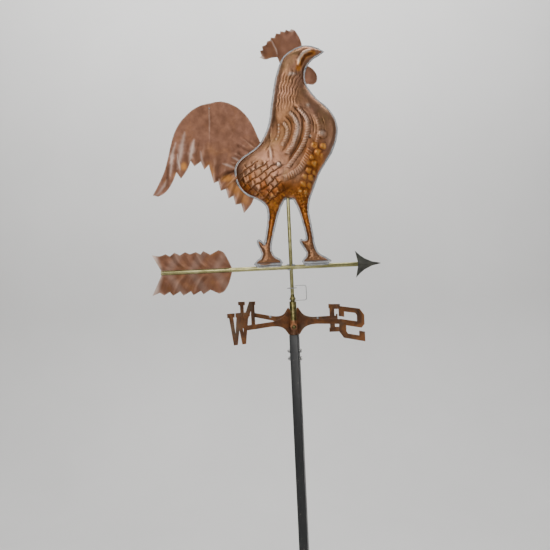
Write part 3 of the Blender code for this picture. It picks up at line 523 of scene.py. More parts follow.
def make_shells(finishes):
    """Both halves of the rooster: the same embossed skin, mirrored in the vane's plane."""
    raw = edge_loop("rooster_shell_right")
    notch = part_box("vane_tube")[1].x + 1.5 * MM
    in_notch = (np.abs(raw[:, 0]) < notch) & (raw[:, 1] > 0.18) & (raw[:, 1] < 0.24)
    loop = refined(raw[~in_notch], EDGE_STEP)
    rings = (0.5 * FLANGE_WIDTH, FLANGE_WIDTH, FLANGE_WIDTH + 1.1 * MM)
    skin = triangulated(loop, lattice(loop, rings, SKIN_SPACING))
    lining = triangulated(loop, lattice(loop, (FLANGE_WIDTH,), LINING_SPACING))
    film = film_over(loop)

    def dome(points, depth):
        width = np.sqrt(2 * film(points, depth))
        return RISE * width / (1 + width / ROUNDING)

    points, triangles, _ = skin
    depth = depth_in(points, loop)
    plane = points / MM
    edge_fade = ease(depth, FLANGE_WIDTH, FLANGE_WIDTH + 6 * MM)
    relief, shadow, pale, gold, warm = body_relief(plane)
    relief = relief * edge_fade
    raised = depth > 1.02 * FLANGE_WIDTH
    sole = ease(plane[:, 1], *SOLE_HEIGHTS)
    rise = np.where(raised, smoothed(dome(points, depth), triangles, 5), 0) * sole + relief * sole * MM
    hollow = smoothed(relief, triangles, 22)
    crest = np.clip(0.5 + (relief - hollow) / 2.2, 0, 1)
    ragged = FLANGE_WIDTH * (1.05 + 0.22 * grain(plane, 4.5, 7) + 0.25 * grain(plane, 17, 8))
    tin = 1 - ease(depth, ragged - 0.5 * MM, ragged + 0.7 * MM) * sole

    lining_depth = depth_in(lining[0], loop)
    under = np.maximum(dome(lining[0], lining_depth) - LINING_GAP, 0) * (lining_depth > 1.02 * FLANGE_WIDTH)
    halves = (("rooster_right", "rooster_shell_right", -1), ("rooster_left", "rooster_shell_left", 1))
    for name, node, side in halves:
        mesh = closed_panel(
            name, skin, side * (FLANGE_OUTER + np.maximum(rise, 0)), lining, side * (FLANGE_INNER + under)
        )
        paint(mesh, "crest", crest, 0.5)
        paint(mesh, "tin", tin)
        for label, values in (("shadow", shadow), ("pale", pale), ("gold", gold), ("warm", warm)):
            paint(mesh, label, values)
        finish_mesh(name, mesh, "vane", "body_copper", finishes, [node], sharp=70)
    return loop


# ---------------------------------------------------------------- solder

def swept(name, path, radii, squash=1.0, sides=12, closed=True):
    """A round or flattened bead along a path in space. Across it lie its own side and the Y axis."""
    path = np.asarray(path)
    ahead = np.roll(path, -1, axis=0) - np.roll(path, 1, axis=0)
    if not closed:
        ahead[0], ahead[-1] = path[1] - path[0], path[-1] - path[-2]
    ahead /= np.linalg.norm(ahead, axis=1)[:, None]
    flat = np.stack([ahead[:, 2], np.zeros(len(path)), -ahead[:, 0]], axis=1)
    flat /= np.linalg.norm(flat, axis=1)[:, None]
    other = np.cross(ahead, flat)
    bm = bmesh.new()
    rows = []
    for point, across, up, radius in zip(path, flat, other, radii):
        row = []
        for k in range(sides):
            angle = 2 * math.pi * k / sides
            corner = point + radius * (math.cos(angle) * across + squash * math.sin(angle) * up)
            row.append(bm.verts.new(corner))
        rows.append(row)
    pairs = list(zip(rows, rows[1:]))
    if closed:
        pairs.append((rows[-1], rows[0]))
    else:
        bm.faces.new(rows[0])
        bm.faces.new(rows[-1])
    for low, high in pairs:
        for k in range(sides):
            m = (k + 1) % sides
            bm.faces.new((low[k], low[m], high[m], high[k]))
    return mesh_from(name, bm)


def make_seam(loop, finishes):
    """The bead of solder that runs round the rooster, thick and lumpy where the tail goes in."""
    plane = loop / MM
    lumps = 0.22 * grain(plane, 7, 11) + 0.16 * grain(plane, 2.6, 12)
    at_tail = patch(plane, -137, 262, 14, 38)
    at_crotch = patch(plane, 0, 198, 12, 12)
    radii = MM * (1.35 * (1 + lumps) + 1.1 * at_tail * (1 + 0.8 * grain(plane, 5, 13)) + 1.2 * at_crotch)
    path = np.stack([loop[:, 0], np.zeros(len(loop)), loop[:, 1] + SHAFT_HEIGHT], axis=1)
    mesh = swept("seam_bead", path, np.maximum(radii, 0.7 * MM), squash=1.5)
    seams = [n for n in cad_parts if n.startswith("seam_solder_")]
    finish_mesh("seam_bead", mesh, "vane", "solder", finishes, sorted(seams))


def blob(name, body, centre, radii, finishes, seed):
    """A frozen splash of solder: a ball with a lumpy, uneven surface. Its radii are in millimetres."""
    bm = bmesh.new()
    bmesh.ops.create_icosphere(bm, subdivisions=4, radius=1)
    for v in bm.verts:
        lump = noise.noise(v.co * 1.6 + Vector((seed, 0, 0)))
        lump += 0.5 * noise.noise(v.co * 4 + Vector((0, seed, 0)))
        swollen = v.co * (1 + 0.28 * lump)
        v.co = Vector(centre) + Vector(swollen[i] * radii[i] * MM for i in range(3))
    finish_mesh(name, mesh_from(name, bm), body, "solder", finishes)


def saddle(name, node, finishes, seed):
    """The solder that holds a foot on the shaft: a lumpy half sleeve with a ragged hem and a spine."""
    low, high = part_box(node)
    inner = SHAFT_RADIUS + 0.1 * MM
    reach = 2.5 * MM
    columns, rows = 60, 26
    bm = bmesh.new()
    outer_rows, inner_rows = [], []
    for i in range(columns + 1):
        along = i / columns
        x = low.x - reach + along * (high.x - low.x + 2 * reach)
        spread = math.sqrt(max(0.02, 1 - (2 * along - 1) ** 12))
        hem = 1.22 * spread * (1 + 0.14 * noise.noise(Vector((x * 120, seed, 0))))
        outer, inside = [], []
        for j in range(rows + 1):
            turn = 2 * j / rows - 1
            angle = turn * hem
            spine = math.exp(-((turn / 0.16) ** 2))
            lump = noise.noise(Vector((x * 230, angle * 2.2, seed)))
            lump += 0.5 * noise.noise(Vector((x * 600, angle * 6, seed)))
            thick = (1.5 + 0.8 * lump + 2.4 * spine) * MM * spread * (1 - turn**6) + 0.15 * MM
            for radius, row in ((inner + max(thick, 0.1 * MM), outer), (inner, inside)):
                y, z = radius * math.sin(angle), SHAFT_HEIGHT + radius * math.cos(angle)
                row.append(bm.verts.new((x, y, z)))
        outer_rows.append(outer)
        inner_rows.append(inside)
    strips = [*zip(outer_rows, outer_rows[1:]), *zip(inner_rows, inner_rows[1:])]
    strips += [(outer_rows[0], inner_rows[0]), (outer_rows[-1], inner_rows[-1])]
    for side in (0, rows):
        strips.append(([row[side] for row in outer_rows], [row[side] for row in inner_rows]))
    for a, b in strips:
        for j in range(len(a) - 1):
            bm.faces.new((a[j], a[j + 1], b[j + 1], b[j]))
    finish_mesh(name, mesh_from(name, bm), "vane", "solder", finishes, [node])


# Splashes of solder on the vane: name, middle from the shaft's, radii (both in millimetres) and seed.
SPLASHES = [
    ("tube_solder_front", (6.5, -3, 5.8), (5.5, 5, 3.2), 2),
    ("tube_solder_rear", (-7, 2, 6.0), (6, 5, 3.6), 5),
    ("tube_solder_under", (-4, -1, -6.3), (6.5, 5, 2.5), 9),
    ("crotch_solder_rear", (-7.5, 0, 195.5), (4.5, 6.2, 6.5), 6),
    ("crotch_solder_front", (8.5, 0, 196), (4.5, 6.2, 6), 4),
    ("tail_dot", (-208, -0.8, 453), (2.2, 1.4, 2.2), 1),
]


def make_solder(finishes):
    saddle("foot_solder_rear", "foot_pad_rear", finishes, 3.1)
    saddle("foot_solder_front", "foot_pad_front", finishes, 8.7)
    for name, (x, y, z), radii, seed in SPLASHES:
        blob(name, "vane", (x * MM, y * MM, SHAFT_HEIGHT + z * MM), radii, finishes, seed)


# ---------------------------------------------------------------- sheets of copper

def plain_paint(points):
    none = np.zeros(len(points))
    return none, none, none


def sheet_panel(name, node, relief, finishes, painted=plain_paint):
    """A thin sheet with its CAD outline, pressed to a relief in millimetres towards -Y."""
    loop = refined(edge_loop(node), EDGE_STEP)
    low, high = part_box(node)
    half = (high.y - low.y) / 2
    face = triangulated(loop, lattice(loop, (1.2 * MM,), SHEET_SPACING))
    points, triangles, _ = face
    plane = points / MM
    height = smoothed(relief(plane), triangles, 2)
    depth = depth_in(points, loop)
    mesh = closed_panel(name, face, -half - height * MM, face, half - height * MM)
    near = smoothed(height, triangles, 16)
    crest = np.clip(0.5 + (height - near) / 1.2, 0, 1)
    rim = 1 - ease(depth, 0.2 * MM, 2.2 * MM + 1.0 * MM * grain(plane, 14, 21))
    gold, pale, shadow = painted(plane)
    paint(mesh, "crest", np.concatenate([crest, 1 - crest]), 0.5)
    for label, values in (("rim", rim), ("gold", gold), ("pale", pale), ("shadow", shadow)):
        paint(mesh, label, np.concatenate([values, values]))
    finish_mesh(name, mesh, "vane", "sheet_copper", finishes, [node], sharp=45)


def quills(points, spines):
    """(distance to the nearest spine, length along it, its number, share) of each point.

    The share is 1 on a spine and 0 halfway to its neighbour.
    """
    found = [nearest(points, curve(spine, 4)) for spine in spines]
    distances = np.stack([distance for distance, _, _ in found])
    travelled = np.stack([along for _, along, _ in found])
    order = np.argsort(distances, axis=0)
    pick = np.arange(len(points))
    first, second = distances[order[0], pick], distances[order[1], pick]
    share = (second - first) / (second + first + 1e-6)
    return first, travelled[order[0], pick], order[0], share


QUILL_LENGTH = 115
TAIL_SPINES = [
    [(-377, 218), (-352, 262), (-336, 305), (-322, 350), (-300, 392), (-268, 424)],
    [(-322, 226), (-326, 270), (-316, 315), (-302, 355), (-282, 392)],
    [(-296, 261), (-299, 300), (-292, 340), (-277, 380), (-255, 410)],
    [(-257, 294), (-263, 325), (-257, 362), (-240, 398)],
    [(-230, 284), (-232, 322), (-224, 362), (-206, 398)],
    [(-205, 245), (-202, 288), (-192, 330), (-174, 366)],
    [(-187, 223), (-177, 266), (-160, 306), (-140, 330)],
    [(-166, 200), (-153, 240), (-136, 276)],
    [(-147, 182), (-134, 222), (-118, 256)],
    [(-125, 157), (-111, 194), (-102, 226)],
]
TAIL_CREASES = [
    ([(-209, 466), (-209, 400), (-214, 330)], 5, 0.8),
    ([(-190, 240), (-168, 262), (-138, 276), (-112, 280)], 13, -2.4),
    ([(-178, 226), (-152, 250), (-128, 262)], 9, 2.2),
    ([(-160, 300), (-136, 296), (-112, 290)], 7, 1.6),
    ([(-150, 330), (-126, 316), (-98, 302)], 9, 1.5),
    ([(-140, 352), (-112, 334), (-84, 318)], 8, -1.3),
    ([(-128, 372), (-104, 352), (-80, 332)], 7, 1.2),
]


def tail_relief(points):
    """Raised quills that fade away from the tips, then the creases near the body."""
    distance, along, _, share = quills(points, TAIL_SPINES)
    fade = 1 - ease(along, 0.35 * QUILL_LENGTH, QUILL_LENGTH)
    near = 1 - ease(distance, 14, 24)
    height = 2.6 * fade * near * (share**0.8 - 0.35)
    for line, width, rise in TAIL_CREASES:
        height += ridge_relief(points, line, width, rise)
    height += 0.9 * grain(points, 38, 31) + 0.35 * grain(points, 13, 32)
    crumpled = patch(points, -130, 300, 42, 50)
    return height + crumpled * 1.1 * grain(points, 12, 33)


# Painted highlights of the tail, as pale strokes: (points of the line, width, amount).
TAIL_HIGHLIGHTS = [
    ([(-306, 362), (-316, 334), (-322, 296), (-326, 270)], 8, 0.55),
    ([(-280, 390), (-288, 356), (-296, 322), (-304, 290)], 10, 0.45),
    ([(-255, 366), (-262, 338), (-270, 306)], 9, 0.65),
    ([(-303, 330), (-301, 308), (-297, 286)], 5, 0.75),
    ([(-178, 298), (-162, 292), (-146, 285)], 5, 0.4),
    ([(-152, 315), (-140, 309), (-129, 301)], 4, 0.4),
    ([(-238, 336), (-234, 304), (-230, 282)], 5, 0.35),
    ([(-205, 272), (-205, 246)], 5, 0.30),
    ([(-190, 256), (-186, 224)], 4, 0.45),
    ([(-169, 230), (-165, 200)], 4, 0.45),
    ([(-150, 212), (-146, 182)], 4, 0.45),
    ([(-127, 186), (-123, 158)], 4, 0.40),
    ([(-209, 470), (-209, 424), (-211, 378)], 2.4, 0.20),
    ([(-335, 262), (-350, 236), (-372, 214)], 6, 0.35),
]
TAIL_FOLD = [(-194, 256), (-170, 272), (-141, 277)]
# Golden patches: (x, z, half width, half height, amount).
TAIL_GOLD = [
    (-287, 295, 10, 12, 0.95), (-342, 257, 8, 12, 0.45), (-312, 262, 9, 18, 0.55), (-217, 276, 20, 32, 0.6),
    (-167, 257, 24, 13, 0.9), (-138, 222, 30, 26, 0.65), (-160, 236, 22, 22, 0.5), (-118, 196, 18, 26, 0.5),
    (-200, 330, 40, 34, 0.25),
]


def tail_paint(points):
    """(gold, painted highlight, painted shadow in the fold) of the tail."""
    gold = 0.18 * ease(-points[:, 1], -330, -200)
    for *place, amount in TAIL_GOLD:
        gold = np.maximum(gold, amount * patch(points, *place))
    fold = nearest(points, curve(TAIL_FOLD))[0]
    gold += 0.1 * grain(points, 20, 34)
    return gold, stroke_paint(points, TAIL_HIGHLIGHTS), 0.85 * ease(5 - fold, -3, 3)


COMB_CREASE = [(-27, 637), (-19, 620), (-13, 606), (-11, 592)]


def comb_relief(points):
    x, z = points.T
    distance = nearest(points, curve(COMB_CREASE))[0]
    crease_x, crease_z = zip(*reversed(COMB_CREASE))
    behind = np.where(x < np.interp(z, crease_z, crease_x), distance, 0)
    height = 0.9 * np.clip(1 - distance / 3.2, 0, 1) + 0.10 * behind
    teeth = np.sin(np.arctan2(z - 590, x - 10) * 17) * ease(np.hypot(x - 10, z - 590), 48, 68)
    return height + 0.7 * teeth + 0.4 * grain(points, 18, 41)


def comb_paint(points):
    """(gold, pale, shadow) of the comb: a pale crease, and pale tips at the rear and the top."""
    tips = [([(-62, 588), (-48, 586)], 7, 0.9), ([(22, 660), (38, 659)], 6, 0.7)]
    strokes = [(COMB_CREASE, 2.6, 0.55), *tips]
    return 0.2 * patch(points, -32, 614, 14, 18), stroke_paint(points, strokes), np.zeros(len(points))


def wattle_relief(points):
    x, z = points.T
    away = ((x - 80) / 20) ** 2 + ((z - 529) / 26) ** 2
    return 2.2 * np.clip(1 - away, 0, 1) + 0.2 * grain(points, 9, 43)


def fletch_spines(node):
    """A curved quill for each feather, from the shaft to its tip."""
    loop = edge_loop(node) / MM
    reach = np.abs(loop[:, 1])
    before, after = np.roll(reach, 1), np.roll(reach, -1)
    tips = loop[(reach > before) & (reach > after) & (reach > 45)]
    spines = []
    for x, z in sorted(tips.tolist()):
        spines.append([(x, z), (x + 13, 0.48 * z), (x + 36, math.copysign(4, z))])
    return spines


def fletch_relief(node):
    spines = fletch_spines(node)

    def relief(points):
        _, _, number, share = quills(points, spines)
        lean = np.where(number % 2 == 0, 1.0, 0.55)
        away = ease(np.abs(points[:, 1]), 4, 20)
        return away * (1.9 * lean * share**0.9 - 0.6) + 0.3 * grain(points, 15, 51)

    return relief


def fletch_paint(points):
    """(gold, pale, shadow) of the fletching: feathers in alternating tones, and grey rear tips."""
    x, z = points.T
    tone = np.sin(x / 10.5 - np.abs(z) / 16)
    gold = np.clip(0.10 + 0.14 * tone + 0.10 * grain(points, 16, 52), 0, 1)
    pale = 0.75 * ease(-(x + 0.3 * np.abs(z)), 352, 372) + 0.12 * np.clip(-tone, 0, 1)
    return gold, pale, 0.35 * np.clip(tone * np.sin(x / 31), 0, 1)


def make_sheets(finishes):
    sheet_panel("tail_feathers", "tail", tail_relief, finishes, tail_paint)
    sheet_panel("comb_sheet", "comb", comb_relief, finishes, comb_paint)
    sheet_panel("wattle_sheet", "wattle", wattle_relief, finishes)
    for which in ("upper", "lower"):
        node = f"fletching_{which}"
        sheet_panel(f"fletch_feathers_{which}", node, fletch_relief(node), finishes, fletch_paint)
        low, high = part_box(node)
        z = high.z if which == "lower" else low.z
        xs = np.linspace(low.x + 26 * MM, high.x - 3 * MM, 150)
        radii = [MM * (1.15 + 0.35 * noise.noise(Vector((x * 150, 0, z * 90)))) for x in xs]
        lift = 0.6 * MM if which == "upper" else -0.6 * MM
        path = [(x, 0, z + lift) for x in xs]
        mesh = swept(f"fletch_solder_{which}", path, radii, squash=1.7, closed=False)
        finish_mesh(f"fletch_solder_{which}", mesh, "vane", "solder", finishes)


# ---------------------------------------------------------------- turned, bent and cut parts

def softened(node, body, slot, finishes, edge):
    """The CAD part with its facets joined, its edges rounded over and its faces shaded smooth."""
    name, sharp = f"{node}_finished", 35
    points, triangles = merged(node)
    mesh = bpy.data.meshes.new(name)
    mesh.from_pydata(points.tolist(), [], triangles.tolist())
    bm = bmesh.new()
    bm.from_mesh(mesh)
    bmesh.ops.recalc_face_normals(bm, faces=bm.faces)
    bmesh.ops.dissolve_limit(bm, angle_limit=math.radians(0.5), verts=bm.verts, edges=bm.edges)
    sharp_edges = [e for e in bm.edges if e.is_manifold and e.calc_face_angle() > math.radians(sharp)]
    bmesh.ops.bevel(
        bm, geom=sharp_edges, offset=edge, offset_type="OFFSET", segments=2, profile=0.5,
        affect="EDGES", clamp_overlap=True,
    )
    bmesh.ops.triangulate(bm, faces=[f for f in bm.faces if len(f.verts) > 4])
    bm.to_mesh(mesh)
    bm.free()
    finish_mesh(name, mesh, body, slot, finishes, [node], sharp=sharp)


# CAD node: (body, material slot, width of its rounded edges).
CUT_PARTS = {
    "arm_north": ("cardinals", "letter_copper", 0.25 * MM),
    "arm_east": ("cardinals", "letter_copper", 0.25 * MM),
    "arm_south": ("cardinals", "letter_copper", 0.25 * MM),
    "arm_west": ("cardinals", "letter_copper", 0.25 * MM),
    "cardinal_collar": ("cardinals", "letter_copper", 0.5 * MM),
    "screw_boss": ("cardinals", "letter_copper", 0.8 * MM),
    "set_screw": ("cardinals", "turned_brass", 0.3 * MM),
    "bearing_sleeve": ("mast", "turned_brass", 0.4 * MM),
    "sleeve_neck": ("mast", "turned_brass", 0.4 * MM),
    "spindle": ("mast", "bright_steel", 0.3 * MM),
    "pole": ("mast", "pole_paint", 0.3 * MM),
    "pole_end_plug": ("mast", "plug_plastic", 0.4 * MM),
    "vane_tube": ("vane", "tube_brass", 0.15 * MM),
    "arrow_shaft": ("vane", "tube_brass", 0.2 * MM),
    "arrowhead": ("vane", "head_casting", 0.3 * MM),
    "drip_washer": ("vane", "bright_steel", 0.5 * MM),
    "keeper_clip": ("vane", "bright_steel", 0.2 * MM),
}


# CAD nodes inside the tube and the sleeve, which keep their own meshes: their material slots.
INNER_PARTS = {
    "lower_bush": "turned_brass",
    "bearing_seat": "bright_steel",
    "thrust_ball": "bright_steel",
    "spindle_guide": "bright_steel",
}


def make_parts(finishes):
    for node, (body, slot, edge) in CUT_PARTS.items():
        softened(node, body, slot, finishes, edge)
    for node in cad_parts:
        if node.startswith(("pole_bolt", "pole_nut", "pole_washer")):
            softened(node, "mast", "bright_steel", finishes, 0.35 * MM)
    for node, slot in INNER_PARTS.items():
        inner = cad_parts[node]
        inner.data.materials.clear()
        inner.data.materials.append(finishes[slot])


def make_brazing(finishes):
    """Beads of braze where the four arms meet the collar, and solder splashes on two of them."""
    low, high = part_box("cardinal_collar")
    reach = high.x + 0.4 * MM
    for name, azimuth in (("north", 135), ("east", 45), ("south", -45), ("west", -135)):
        turn = math.radians(azimuth)
        heights = np.linspace(low.z + 2 * MM, high.z + 16 * MM, 60)
        path = [(reach * math.cos(turn), reach * math.sin(turn), z) for z in heights if z < high.z - 1 * MM]
        radii = [MM * (1.5 + 0.5 * noise.noise(Vector((azimuth, 0, z * 190)))) for _, _, z in path]
        mesh = swept(f"braze_{name}", path, radii, closed=False)
        finish_mesh(f"braze_{name}", mesh, "cardinals", "letter_copper", finishes)
    middle = (low.z + high.z) / 2
    for name, azimuth, reach, lift in (("north", 135, 90 * MM, 28 * MM), ("east", 45, 101 * MM, 18 * MM)):
        turn = math.radians(azimuth)
        centre = (reach * math.cos(turn), reach * math.sin(turn) - 0.8 * MM, middle + lift)
        blob(f"arm_splash_{name}", "cardinals", centre, (4.8, 1.6, 3.6), finishes, azimuth)


# ---------------------------------------------------------------- finishes

class Finish:
    """A Principled material under construction. Each method adds one node and returns its output."""

    def __init__(self, name, metallic):
        self.material = bpy.data.materials.new(name)
        self.material.use_nodes = True
        self.tree = self.material.node_tree
        self.shader = self.tree.nodes["Principled BSDF"]
        self.shader.inputs["Metallic"].default_value = metallic
        self.place = self.tree.nodes.new("ShaderNodeTexCoord").outputs["Object"]

    def add(self, kind, inputs, output=0, **settings):
        node = self.tree.nodes.new(kind)
        for key, value in settings.items():
            setattr(node, key, value)
        for key, value in inputs.items():
            self.feed(node.inputs[key], value)
        return node.outputs[output]

    def feed(self, socket, value):
        """Links another node's output to the socket, or sets the value on it."""
        if isinstance(value, bpy.types.NodeSocket):
            self.tree.links.new(value, socket)
        else:
            socket.default_value = value

    def noise(self, scale, detail=4.0, stretch=(1, 1, 1), distortion=0.0):
        place = self.add("ShaderNodeMapping", {"Vector": self.place, "Scale": stretch})
        inputs = {"Vector": place, "Scale": scale, "Detail": detail, "Roughness": 0.6}
        return self.add("ShaderNodeTexNoise", inputs | {"Distortion": distortion})

    def painted(self, name):
        return self.add("ShaderNodeAttribute", {}, output="Fac", attribute_name=name)

    def ramp(self, factor, stops):
        node = self.tree.nodes.new("ShaderNodeValToRGB")
        self.tree.links.new(factor, node.inputs["Fac"])
        elements = node.color_ramp.elements
        while len(elements) < len(stops):
            elements.new(0.5)
        for element, (at, colour) in zip(elements, stops):
            element.position = at
            element.color = (*colour, 1)
        return node.outputs["Color"]

    def spread(self, value, low, high, to_low=0.0, to_high=1.0):
        inputs = {"Value": value, "From Min": low, "From Max": high, "To Min": to_low, "To Max": to_high}
        return self.add("ShaderNodeMapRange", inputs, interpolation_type="SMOOTHSTEP")

    def mix(self, factor, under, over):
        """The colour under, covered by the colour over as far as the factor says."""
        if isinstance(over, tuple):
            over = (*over, 1)
        return self.add("ShaderNodeMix", {0: factor, 6: under, 7: over}, output=2, data_type="RGBA")

    def product(self, first, second):
        return self.add("ShaderNodeMath", {0: first, 1: second}, operation="MULTIPLY")

    def bump(self, height, depth, strength=1.0, under=None):
        inputs = {"Height": height, "Distance": depth, "Strength": strength}
        if under:
            inputs["Normal"] = under
        return self.add("ShaderNodeBump", inputs)

    def set(self, colour, roughness, normal=None, metallic=None):
        """The finished material, with these outputs linked to its shader."""
        sockets = {"Base Color": colour, "Roughness": roughness, "Normal": normal, "Metallic": metallic}
        for name, output in sockets.items():
            if output:
                self.tree.links.new(output, self.shader.inputs[name])
        return self.material


def body_copper():
    f = Finish("embossed_copper", 0.95)
    broad = f.noise(11, 4, distortion=0.4)
    stops = [(0.30, (0.20, 0.098, 0.045)), (0.50, (0.29, 0.145, 0.078)), (0.72, (0.37, 0.190, 0.125))]
    skin = f.ramp(broad, stops)
    olive = f.spread(f.noise(21, 4), 0.50, 0.72, 0, 0.40)
    skin = f.mix(olive, skin, (0.22, 0.155, 0.06))
    # Painted warm reflection: orange where the warm mask says.
    warm = f.painted("warm")
    warm_reflection_stops = [(0.35, (0.23, 0.060, 0.010)), (0.55, (0.42, 0.135, 0.024)), (0.75, (0.60, 0.230, 0.055))]
    warm_reflection = f.ramp(f.noise(24, 3), warm_reflection_stops)
    skin = f.mix(f.spread(warm, 0.05, 0.9, 0, 0.92), skin, warm_reflection)
    crest = f.painted("crest")
    # Painted golden reflection: deep orange in hollows to bright gold on crests, where the gold mask says.
    stops = [(0.35, (0.26, 0.075, 0.012)), (0.62, (0.56, 0.215, 0.035)), (0.95, (0.80, 0.42, 0.10))]
    gold_reflection = f.ramp(crest, stops)
    skin = f.mix(f.spread(f.painted("gold"), 0.15, 0.9, 0, 0.9), skin, gold_reflection)
    skin = f.mix(f.spread(crest, 0.50, 0.16, 0, 0.82), skin, (0.075, 0.026, 0.008))
    skin = f.mix(f.spread(crest, 0.62, 1.0, 0, 0.30), skin, (0.60, 0.38, 0.25))
    deep = f.product(f.painted("shadow"), f.spread(broad, 0.2, 0.7, 0.95, 0.6))
    skin = f.mix(deep, skin, (0.090, 0.030, 0.007))
    # Painted highlights: pale pinkish white where the pale mask says.
    skin = f.mix(f.product(f.painted("pale"), 0.85), skin, (0.72, 0.60, 0.52))
    specks = f.spread(f.noise(170, 3), 0.60, 0.74, 0, 0.35)
    skin = f.mix(specks, skin, (0.12, 0.055, 0.022))
    tin = f.painted("tin")
    solder = f.ramp(f.noise(150, 4), [(0.3, (0.24, 0.25, 0.26)), (0.7, (0.42, 0.43, 0.45))])
    colour = f.mix(tin, skin, solder)
    rough = f.spread(f.noise(50, 4), 0.35, 0.65, 0.38, 0.50)
    metal = f.spread(tin, 0.2, 0.8, 0.96, 0.55)
    fine = f.bump(f.noise(300, 3), 0.0003, 0.2)
    dents = f.bump(f.noise(75, 3), 0.0014, 0.30, fine)
    return f.set(colour=colour, roughness=rough, normal=dents, metallic=metal)


def sheet_copper():
    f = Finish("oxidised_sheet", 0.75)
    broad = f.noise(7, 4, distortion=0.5)
    stops = [(0.28, (0.140, 0.060, 0.032)), (0.50, (0.172, 0.077, 0.045)), (0.74, (0.205, 0.094, 0.062))]
    skin = f.ramp(broad, stops)
    brown = f.spread(f.noise(24, 5), 0.50, 0.70, 0, 0.30)
    skin = f.mix(brown, skin, (0.22, 0.088, 0.030))
    specks = f.spread(f.noise(150, 3), 0.58, 0.72, 0, 0.2)
    skin = f.mix(specks, skin, (0.10, 0.042, 0.020))
    crest = f.painted("crest")
    skin = f.mix(f.spread(crest, 0.46, 0.12, 0, 0.50), skin, (0.085, 0.032, 0.014))
    skin = f.mix(f.spread(crest, 0.58, 1.0, 0, 0.30), skin, (0.40, 0.225, 0.150))
    skin = f.mix(f.spread(f.painted("gold"), 0.1, 0.95, 0, 0.85), skin, (0.42, 0.175, 0.038))
    skin = f.mix(f.painted("shadow"), skin, (0.075, 0.026, 0.010))
    # Pale: painted highlights on the tail; a pale crease and tips on the comb, grey rear tips and lighter feathers
    # on the fletching.
    skin = f.mix(f.painted("pale"), skin, (0.56, 0.44, 0.38))
    rim = f.product(f.painted("rim"), f.spread(f.noise(70, 3), 0.35, 0.6, 0.10, 0.6))
    skin = f.mix(rim, skin, (0.46, 0.33, 0.26))
    rough = f.spread(f.noise(45, 4), 0.3, 0.7, 0.44, 0.60)
    fine = f.bump(f.noise(260, 3), 0.0003, 0.2)
    waves = f.bump(f.noise(50, 3), 0.0012, 0.22, fine)
    return f.set(colour=skin, roughness=rough, normal=waves)


def letter_copper():
    f = Finish("cut_sheet", 0.80)
    broad = f.noise(22, 6, distortion=0.6)
    stops = [(0.30, (0.085, 0.048, 0.030)), (0.47, (0.19, 0.088, 0.046)), (0.60, (0.32, 0.135, 0.052))]
    stops.append((0.76, (0.20, 0.135, 0.098)))
    skin = f.ramp(broad, stops)
    specks = f.spread(f.noise(240, 4), 0.56, 0.70, 0, 0.6)
    skin = f.mix(specks, skin, (0.12, 0.075, 0.045))
    stains = f.spread(f.noise(9, 5), 0.52, 0.66, 0, 0.5)
    skin = f.mix(stains, skin, (0.20, 0.17, 0.12))
    rough = f.spread(f.noise(70, 4), 0.3, 0.7, 0.40, 0.62)
    return f.set(colour=skin, roughness=rough, normal=f.bump(f.noise(300, 4), 0.0005, 0.3))


def brass(name, stops, stain, stretch, blotch):
    """Brass with patina: these colours in blotches, darker stains, and marks drawn out along the part."""
    f = Finish(name, 0.92)
    broad = f.noise(blotch, 6, distortion=0.5)
    skin = f.ramp(broad, stops)
    marks = f.spread(f.noise(60, 5, stretch), 0.48, 0.66, 0, 0.75)
    skin = f.mix(marks, skin, stain)
    specks = f.spread(f.noise(310, 3), 0.57, 0.68, 0, 0.5)
    skin = f.mix(specks, skin, (0.09, 0.08, 0.035))
    rough = f.spread(f.noise(90, 4), 0.3, 0.7, 0.28, 0.50)
    return f.set(colour=skin, roughness=rough, normal=f.bump(f.noise(340, 3), 0.0004, 0.3))


def tube_brass():
    stops = [(0.30, (0.20, 0.19, 0.08)), (0.52, (0.40, 0.37, 0.17)), (0.72, (0.62, 0.58, 0.34))]
    return brass("drawn_brass", stops, (0.24, 0.22, 0.09), (0.25, 1, 1), 18)


def turned_brass():
    stops = [(0.34, (0.050, 0.048, 0.016)), (0.52, (0.19, 0.165, 0.060)), (0.74, (0.42, 0.36, 0.16))]
    return brass("turned_brass_patina", stops, (0.14, 0.12, 0.05), (1, 1, 1), 95)


def solder():
    f = Finish("soft_solder", 0.55)
    stops = [(0.30, (0.18, 0.19, 0.20)), (0.55, (0.32, 0.33, 0.34)), (0.75, (0.52, 0.54, 0.55))]
    skin = f.ramp(f.noise(85, 5), stops)
    dirt = f.spread(f.noise(26, 4), 0.56, 0.72, 0, 0.45)
    skin = f.mix(dirt, skin, (0.30, 0.27, 0.22))
    rough = f.spread(f.noise(120, 3), 0.3, 0.7, 0.30, 0.52)
    return f.set(colour=skin, roughness=rough, normal=f.bump(f.noise(260, 4), 0.0006, 0.4))


def bright_steel():
    f = Finish("plated_steel", 0.95)
    stops = [(0.30, (0.24, 0.24, 0.24)), (0.60, (0.42, 0.42, 0.41)), (0.80, (0.38, 0.35, 0.30))]
    skin = f.ramp(f.noise(70, 5), stops)
    rust = f.spread(f.noise(160, 4), 0.60, 0.74, 0, 0.6)
    skin = f.mix(rust, skin, (0.22, 0.13, 0.07))
    rough = f.spread(f.noise(200, 3, (0.2, 1, 1)), 0.3, 0.7, 0.25, 0.45)
    return f.set(colour=skin, roughness=rough, normal=f.bump(f.noise(420, 3), 0.0002, 0.25))


def head_casting():
    f = Finish("cast_brass_dull", 0.75)
    stops = [(0.30, (0.030, 0.031, 0.027)), (0.55, (0.068, 0.068, 0.058)), (0.78, (0.125, 0.118, 0.090))]
    skin = f.ramp(f.noise(40, 6), stops)
    grit = f.bump(f.noise(210, 5), 0.0010, 0.55)
    rough = f.spread(f.noise(80, 4), 0.3, 0.7, 0.45, 0.68)
    return f.set(colour=skin, roughness=rough, normal=grit)


